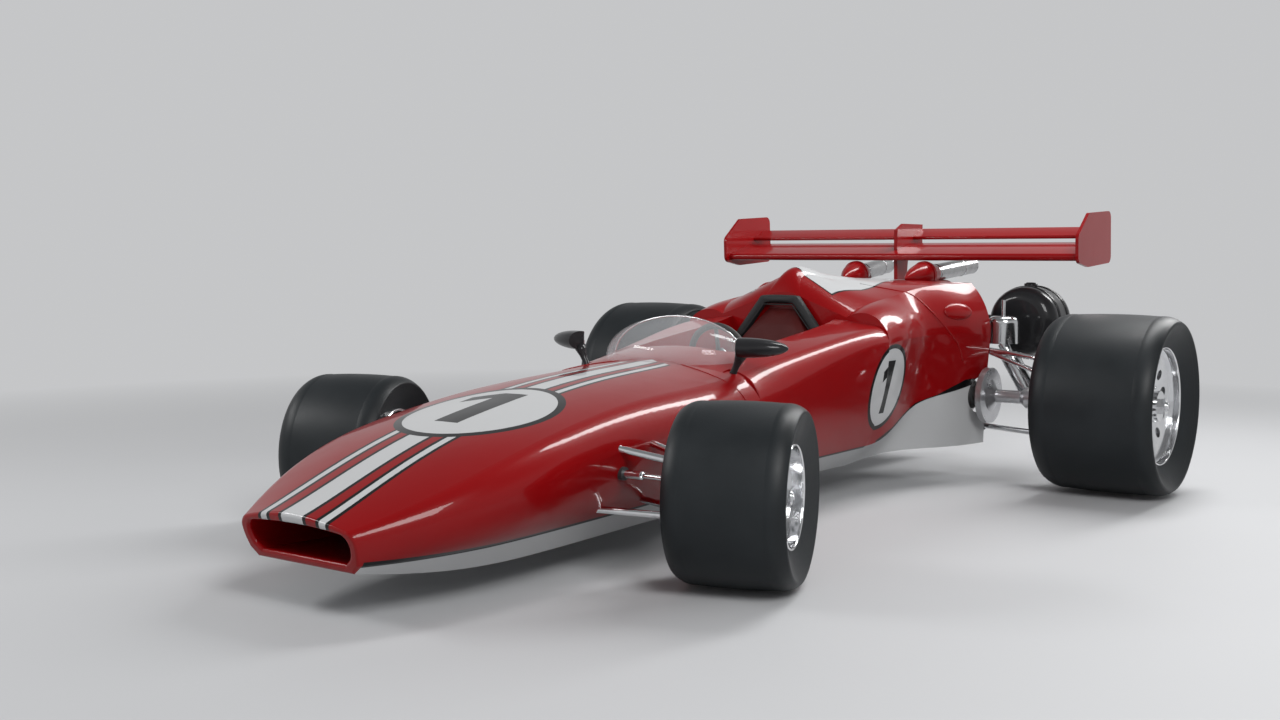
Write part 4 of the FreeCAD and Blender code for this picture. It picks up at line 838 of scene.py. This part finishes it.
# %% Rings and bolts
def around(count, reach, first=0.5):
    """Evenly spaced points on a circle, as pairs; the first is that share of a step on."""
    turns = [2 * math.pi * (index + first) / count for index in range(count)]
    return [(reach * math.cos(turn), reach * math.sin(turn)) for turn in turns]


def ring(shape, place, way, reach, radius, sides=10, steps=56):
    """A full ring about an axis."""
    axis = facing(place, way)
    points = [axis @ Vector((a, b, 0.0)) for a, b in around(steps, reach, 0.0)]
    tube(shape, points, radius, sides, closed=True)


def bolt(shape, place, way, radius):
    """A hexagon head on a washer."""
    puck(shape, place, way, radius * 1.35, radius * 0.25, 20)
    puck(shape, place, way, radius, radius * 0.95, 6)


# %% Wheel trim
# bead, hub, bolt_ring and nut are radii; lip, web and stand are places along the axle,
# outwards from the wheel's middle, and cone is how deep the bell is dished.
WHEEL_COLUMNS = ("bead", "lip", "web", "cone", "hub", "stand", "bolt_ring", "nut")
WHEEL_SIZES = {
    "front": (0.158, 0.151, 0.088, 0.026, 0.044, 0.122, 0.063, 0.027),
    "rear": (0.243, 0.192, 0.130, 0.038, 0.062, 0.182, 0.096, 0.036),
}
WHEEL_BOLTS, BOLT, CAP_OUT, CAP_STEP = 12, 0.0065, 0.0235, 0.006
LIP_ROLL, RIM_WALL, VALVE = 0.0052, 0.009, 0.0034
for tyre, (x, y, z, turn, _) in TYRES.items():
    end, name = tyre.split("_")[1:]
    size = dict(zip(WHEEL_COLUMNS, WHEEL_SIZES[end]))
    put = Matrix.Translation((x, y, z)) @ Matrix.Rotation(
        turn + (0.0 if name == "left" else math.pi), 4, "Z")
    out = put.to_3x3() @ Vector((1.0, 0.0, 0.0))
    trim = bmesh.new()
    for lip in (size["lip"], -size["lip"]):
        ring(trim, put @ Vector((lip, 0.0, 0.0)), out, size["bead"] - 0.004, LIP_ROLL,
             10, 96)
    # The bell is a cone from the hub out to the rim's wall; the bolts sit on it.
    wall = size["bead"] - RIM_WALL
    part = (size["bolt_ring"] - size["hub"]) / (wall - size["hub"])
    bell = size["web"] + size["cone"] * part - 0.0005
    for a, b in around(WHEEL_BOLTS, size["bolt_ring"]):
        bolt(trim, put @ Vector((bell, a, b)), out, BOLT)
    cap, nut = put @ Vector((size["stand"] + CAP_OUT, 0.0, 0.0)), size["nut"]
    puck(trim, cap, out, nut * 0.62, CAP_STEP, 32, nut * 0.5)
    puck(trim, cap + out * CAP_STEP, out, nut * 0.5, 0.004, 32, nut * 0.25)
    valve = [put @ Vector((size["lip"] - 0.052 + step, 0.0, wall - 0.010 - step * 0.15))
             for step in (0.0, 0.016, 0.032)]
    valve_root = put @ Vector((size["lip"] - 0.058, 0.0, wall + 0.002))
    tube(trim, [valve_root] + valve, VALVE, 10)
    finish_piece("wheel_trim_%s_%s" % (end, name), trim, "%s_wheel_%s" % (end, name),
                 "wheel_chrome")

# %% [markdown]
# ## Drums, exhausts and gearbox
# The two drums are held by steel bands and have a filler cap on top. Each tail pipe is
# clamped by two beads and ends in a rolled one. The gearbox casing is ribbed and closed
# by bolted covers, and ribbed rubber boots keep grease in the half shafts' inner joints.

# %% Drum bands and caps
DRUM_X, DRUM_Z, DRUM_RADIUS, WIRE = 0.640, 0.690, 0.155, 0.0035
FILLER_HEIGHT = 0.016
drum_front = back(2.620)
for name, side in SIDES:
    bands = bmesh.new()
    for band in (0.085, 0.185):
        for shift in (-0.006, 0.0, 0.006):  # each band is three wires side by side
            ring(bands, (side * DRUM_X, drum_front + band + shift, DRUM_Z), REARWARDS,
                 DRUM_RADIUS + WIRE, WIRE, 6, 72)
    filler = Vector((side * DRUM_X, drum_front + 0.135, DRUM_Z + DRUM_RADIUS))
    puck(bands, filler, UP, 0.030, FILLER_HEIGHT)
    puck(bands, filler + Vector(UP) * FILLER_HEIGHT, UP, 0.024, 0.005, 24, 0.019)
    finish_piece("drum_bands_" + name, bands, "chassis", "gloss_black")

# %% Exhaust beads
PIPE_START, PIPE_END = (0.178, 2.600, 0.898), (0.228, 3.040, 0.940)  # X, behind, Z
TIP_RADIUS, CLAMP_RADIUS, CLAMPS = 0.0385, 0.0400, (0.105, 0.330)


def on_side(side, x, behind, z):
    return Vector((side * x, back(behind), z))


tips = bmesh.new()
for _, side in SIDES:
    start, end = on_side(side, *PIPE_START), on_side(side, *PIPE_END)
    way = (end - start).normalized()
    ring(tips, end - way * 0.003, way, TIP_RADIUS, 0.0034, 10, 48)
    for clamp in CLAMPS:
        ring(tips, start + way * clamp, way, CLAMP_RADIUS, 0.0022, 8, 48)
finish_piece("exhaust_beads", tips, "chassis", "chrome_tube")


# %% Gearbox ribs, covers and bolts
def slab(shape, middle, sides, bevel):
    """A plate or block with small rounded edges."""
    made = bmesh.ops.create_cube(shape, size=1.0)["verts"]
    bmesh.ops.scale(shape, verts=made, vec=sides)
    bmesh.ops.translate(shape, verts=made, vec=middle)
    edges = list({edge for vert in made for edge in vert.link_edges})
    bmesh.ops.bevel(shape, geom=edges, offset=bevel, offset_type="OFFSET", segments=3,
                    profile=0.5, affect="EDGES", material=-1)


CASE_Z, CASE_END = 0.365, 2.870
RIBS, FIRST_RIB, RIB_PITCH = 6, 2.470, 0.062
FLANGE_X, FLANGE_BOLTS, FLANGE_REACH = 0.4995, 8, 0.094
# Ribs, end cover, the boss on it and front flange: behind, Z, size, rounding.
PLATES = [(FIRST_RIB + RIB_PITCH * index, 0.362, (0.286, 0.010, 0.290), 0.003)
          for index in range(RIBS)]
PLATES += [(CASE_END + 0.004, CASE_Z, (0.250, 0.016, 0.310), 0.006),
           (CASE_END + 0.016, 0.410, (0.170, 0.014, 0.170), 0.005),
           (2.262, CASE_Z, (0.330, 0.020, 0.320), 0.006)]
cover_bolts = [(x, z) for x in (-0.108, -0.036, 0.036, 0.108) for z in (0.226, 0.504)]
cover_bolts += [(x, z) for x in (-0.112, 0.112) for z in (0.290, CASE_Z, 0.440)]
casing = bmesh.new()
for behind, z, sides, bevel in PLATES:
    slab(casing, (0.0, back(behind), z), sides, bevel)
for x, z in cover_bolts:
    bolt(casing, (x, back(CASE_END + 0.012), z), REARWARDS, 0.006)
for _, side in SIDES:
    for a, b in around(FLANGE_BOLTS, FLANGE_REACH):
        spot = (side * FLANGE_X, back(WHEELBASE) + a, REAR_AXLE_Z + b)
        bolt(casing, spot, (-side, 0, 0), 0.0055)
finish_piece("gearbox_bolts", casing, "chassis", "cast_alloy", False)

# %% Half shaft boots
# The boot's outline, half a section through it: places along the axle, and radii.
BOOT_START, BOOT_END, BOOT_BORE = 0.530, 0.624, 0.0285
FOLDS, FOLD_PITCH, FOLD_DEPTH = 5, 0.013, 0.011
outline = [(BOOT_START, 0.030), (0.536, 0.062)]
for fold in range(FOLDS):
    crest = 0.062 - 0.005 * fold
    outline += [(0.543 + FOLD_PITCH * fold, crest),
                (0.5495 + FOLD_PITCH * fold, crest - FOLD_DEPTH)]
outline += [(0.612, 0.0315), (BOOT_END, 0.0315), (BOOT_END, BOOT_BORE),
            (BOOT_START, BOOT_BORE)]
for name, side in SIDES:
    boot = bmesh.new()
    rows = [boot.verts.new((side * x, back(WHEELBASE), REAR_AXLE_Z + radius))
            for x, radius in outline]
    edges = [boot.edges.new(pair) for pair in zip(rows, rows[1:] + rows[:1])]
    bmesh.ops.spin(boot, geom=rows + edges, cent=(0.0, back(WHEELBASE), REAR_AXLE_Z),
                   axis=(1, 0, 0), angle=2 * math.pi, steps=48, use_merge=True)
    bmesh.ops.remove_doubles(boot, verts=boot.verts, dist=WELD)
    finish_piece("shaft_boot_" + name, boot, "rear_wheel_" + name, "frame_black")

# %% [markdown]
# ## Cockpit
# Three dials look at the driver from the dash, the steering wheel has a bolted centre
# boss, and a short gear lever stands at the right. The dials' ticks and needles are
# painted by arithmetic on the distance and the angle from each dial's middle.

# %% Dial paint
DIAL_PITCH, DIAL_Z, DIAL_RADIUS = 0.090, 0.552, 0.030


def dial_face():
    """A ring of ticks, a slanted needle and its hub, the same on every dial."""
    paint = Paint("dial_face", Roughness=0.3, Coat_Weight=1.0, Coat_Roughness=0.02)
    x, _, z = paint.place()
    across = x.math("WRAP", DIAL_PITCH / 2, -DIAL_PITCH / 2)
    up = z - DIAL_Z
    reach = distance(across, up)
    angle = across.math("ARCTAN2", up)
    ticks = (angle * 12.0).math("COSINE").over(0.86, 0.05) * reach.within(0.0215, 0.0265)
    needle = abs(across - up * 0.7).under(0.0012) * up.over(0.0) * reach.under(0.021)
    hub = reach.under(0.0035)
    mark = ticks.either(needle).either(hub)
    grain = paint.mix(paint.noise(60.0), BLACK, colour(0.016, 0.016, 0.017))
    paint.feed("Base Color", paint.mix(mark, grain, colour(0.75, 0.74, 0.70)))
    return paint.material


print("dials are", DIAL_PITCH, "m apart")

# %% Dials and steering wheel boss
BOSS_FOOT, BOSS_HEIGHT, BOSS_RADIUS = 0.008, 0.009, 0.036
BOSS_BOLTS, BOSS_REACH = 6, 0.026
dash_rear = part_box("dash_panel")[1].y
faces, bezels = bmesh.new(), bmesh.new()
for index in (-1, 0, 1):
    spot = Vector((index * DIAL_PITCH, dash_rear, DIAL_Z))
    puck(faces, spot, REARWARDS, DIAL_RADIUS, 0.004, 48)
    ring(bezels, spot + Vector((0, 0.0045, 0)), REARWARDS, DIAL_RADIUS + 0.0005, 0.003,
         10, 48)
for x in (-0.135, 0.135):
    for z in (0.485, 0.598):
        bolt(bezels, (x, dash_rear, z), REARWARDS, 0.0045)
wheel_middle = Vector((0.0, back(1.120), 0.590))
column_end = Vector((0.0, back(0.894), 0.548))
way = (wheel_middle - column_end).normalized()
puck(bezels, wheel_middle + way * BOSS_FOOT, way, BOSS_RADIUS, BOSS_HEIGHT, 40)
boss_top = facing(wheel_middle + way * (BOSS_FOOT + BOSS_HEIGHT), way)
for a, b in around(BOSS_BOLTS, BOSS_REACH, 0.0):
    bolt(bezels, boss_top @ Vector((a, b, 0.0)), way, 0.0035)
finish_piece("dial_faces", faces, "chassis", "cockpit_black", False, dial_face())
finish_piece("dial_bezels", bezels, "chassis", "chrome_tube")

# %% Gear lever
LEVER = ((-0.252, 0.400), (-0.236, 0.402), (-0.222, 0.410), (-0.214, 0.424),
         (-0.211, 0.450), (-0.211, 0.492))
lever_y = back(1.180)
lever = bmesh.new()
tube(lever, [(x, lever_y, z) for x, z in LEVER], 0.005, 12)
top_x, top_z = LEVER[-1]
knob = Matrix.Translation((top_x, lever_y, top_z + 0.008))
bmesh.ops.create_uvsphere(lever, u_segments=24, v_segments=16, radius=0.016, matrix=knob)
finish_piece("gear_lever", lever, "chassis", "chrome_tube")

# %% [markdown]
# ## Cowl and rear cover seams
# The nose is a lift-off panel, and a raised bead runs over the cowl where it ends. The
# part of the cover in front of each rear wheel is a panel of its own too: a raised bead
# runs round its edge, and a low oval blister clears the bracket behind it. A ray from
# outside finds the painted skin at each point of a bead, so it lies on the curved panel.

# %% Cowl seam
# Points on top as X and distance behind the axle, then down the flank with their height.
COWL_SEAM = ((0.0, 0.679), (0.055, 0.678), (0.113, 0.665), (0.173, 0.643), (0.220, 0.629),
             (0.266, 0.618), (0.318, 0.606), (0.364, 0.597))
COWL_FLANK = ((0.5257, 0.611), (0.4905, 0.627), (0.455, 0.640))
OVER_ALL, BESIDE_ALL = 1.0, 0.9  # where the rays start


def cowl_point(x, behind):
    """A point of the seam on top of the nose or the tub, found from above."""
    start, down = Vector((x, back(behind), OVER_ALL)), Vector((0, 0, -1))
    casts = [NODES[node].ray_cast(start, down) for node in ("nose_cone", "tub")]
    return max((place for hit, place, _, _ in casts if hit), key=lambda place: place.z)


cowl = bmesh.new()
half_seam = [cowl_point(x, behind) for x, behind in along(COWL_SEAM, 3)]
half_seam += [on_skin("nose_cone", (BESIDE_ALL, back(behind), z), (-1, 0, 0))[0]
              for z, behind in along(COWL_FLANK, 3)]
mirrored = [Vector((-place.x, place.y, place.z)) for place in half_seam[:0:-1]]
tube(cowl, mirrored + half_seam, 0.0028, 8)
finish_piece("cowl_seam", cowl, "chassis", "body_red")

# %% Rear cover seams and blisters
# Points as distance behind the axle and height.
COVER_SEAM = ((1.962, 0.868), (1.985, 0.848), (2.021, 0.817), (2.056, 0.758),
              (2.085, 0.722), (2.116, 0.684), (2.150, 0.650), (2.182, 0.617),
              (2.205, 0.580), (2.222, 0.535))
BLISTER, BLISTER_SIZE = (2.205, 0.748), (0.085, 0.038, 0.015)


def cover_skin(side, behind, z):
    return on_skin("engine_cover", (side * BESIDE_ALL, back(behind), z), (-side, 0, 0))


for name, side in SIDES:
    seam = bmesh.new()
    tube(seam, [cover_skin(side, behind, z)[0] for behind, z in along(COVER_SEAM, 4)],
         0.0030, 8)
    finish_piece("cover_seam_" + name, seam, "chassis", "body_red")
    place, normal = cover_skin(side, *BLISTER)
    blister = bmesh.new()
    bmesh.ops.create_uvsphere(blister, u_segments=40, v_segments=24, radius=1.0)
    bmesh.ops.scale(blister, verts=blister.verts, vec=BLISTER_SIZE)
    bmesh.ops.transform(blister, verts=blister.verts,
                        matrix=facing(place - normal * 0.002, normal))
    finish_piece("cover_blister_" + name, blister, "chassis", "body_red")

# %% [markdown]
# ## Floor
# A plain pale floor takes the shadow and fades into a pale backdrop a few metres out. The
# fade mixes the floor's paint with light of the backdrop's own colour.

# %% Floor
PALE = colour(0.56, 0.565, 0.575)
FLOOR_SIZE, FADE_MIDDLE, FADE_WIDTH = 120.0, 4.4, 4.8

shape = bmesh.new()
bmesh.ops.create_grid(shape, x_segments=1, y_segments=1, size=FLOOR_SIZE / 2)
floor = add_object("floor", mesh_from("floor", shape))

paint = Paint("floor_paint", Roughness=0.6)
paint.feed("Base Color", paint.mix(paint.noise(0.8, 3.0), colour(0.50, 0.505, 0.515),
                                   colour(0.47, 0.475, 0.485)))
x, y, _ = paint.place()
away = distance(x, y).over(FADE_MIDDLE, FADE_WIDTH)
glow = paint.node("ShaderNodeEmission", inputs={"Color": PALE})
coat = Value(paint, paint.shader.outputs[0])
faded = paint.node("ShaderNodeMixShader", inputs={0: away, 1: coat, 2: glow})
paint.tree.links.new(faded.socket, paint.tree.nodes["Material Output"].inputs[0])
floor.data.materials.append(paint.material)
print("the floor starts to fade", FADE_MIDDLE - FADE_WIDTH / 2, "m from the middle")

# %% [markdown]
# ## Backdrop
# The world is the backdrop: pale at the horizon and darker overhead, as in a studio with
# a dark ceiling, so gloss paint keeps its depth.

# %% Backdrop
OVERHEAD = colour(0.20, 0.202, 0.206)
FADE_HEIGHTS = {"From Min": 0.30, "From Max": 0.72}
world = bpy.data.worlds.new("studio")
bpy.context.scene.world = world
world.use_nodes = True
sky = world.node_tree
where = sky.nodes.new("ShaderNodeTexCoord")
split = sky.nodes.new("ShaderNodeSeparateXYZ")
sky.links.new(where.outputs["Generated"], split.inputs[0])
fade = sky.nodes.new("ShaderNodeMapRange")
fade.interpolation_type = "SMOOTHSTEP"
for socket, height in FADE_HEIGHTS.items():
    fade.inputs[socket].default_value = height
sky.links.new(split.outputs["Z"], fade.inputs["Value"])
level = sky.nodes.new("ShaderNodeMix")
level.data_type = "RGBA"
level.inputs[6].default_value = PALE
level.inputs[7].default_value = OVERHEAD
sky.links.new(fade.outputs["Result"], level.inputs[0])
sky.links.new(level.outputs[2], sky.nodes["Background"].inputs["Color"])
print("backdrop:", world.name)

# %% [markdown]
# ## Lamps
# A long lamp above the tail gives the crisp highlight along the nose's shoulder. A square
# one, in front of the car and to its left, lights the side that the camera sees, and a
# narrow one opposite it fills the far side.

# %% Lamps
LAMPS = {  # place, target, width, height, watts
    "strip": ((1.15, 3.0, 3.7), (0.1, 0.6, 0.4), 0.75, 4.4, 190.0),
    "key": ((4.6, -3.6, 4.4), (0.0, -0.4, 0.4), 2.4, 2.4, 250.0),
    "fill": ((-3.5, -3.5, 3.4), (0.0, 0.6, 0.5), 2.8, 0.6, 110.0),
}
for name, (place, target, width, height, watts) in LAMPS.items():
    lamp = bpy.data.lights.new(name, "AREA")
    lamp.shape, lamp.size, lamp.size_y, lamp.energy = "RECTANGLE", width, height, watts
    item = add_object(name, lamp)
    item.location = place
    aim = Vector(target) - Vector(place)
    item.rotation_euler = aim.to_track_quat("-Z", "Y").to_euler()
bpy.context.scene.view_settings.view_transform = "Standard"
print("lamps:", len(LAMPS))
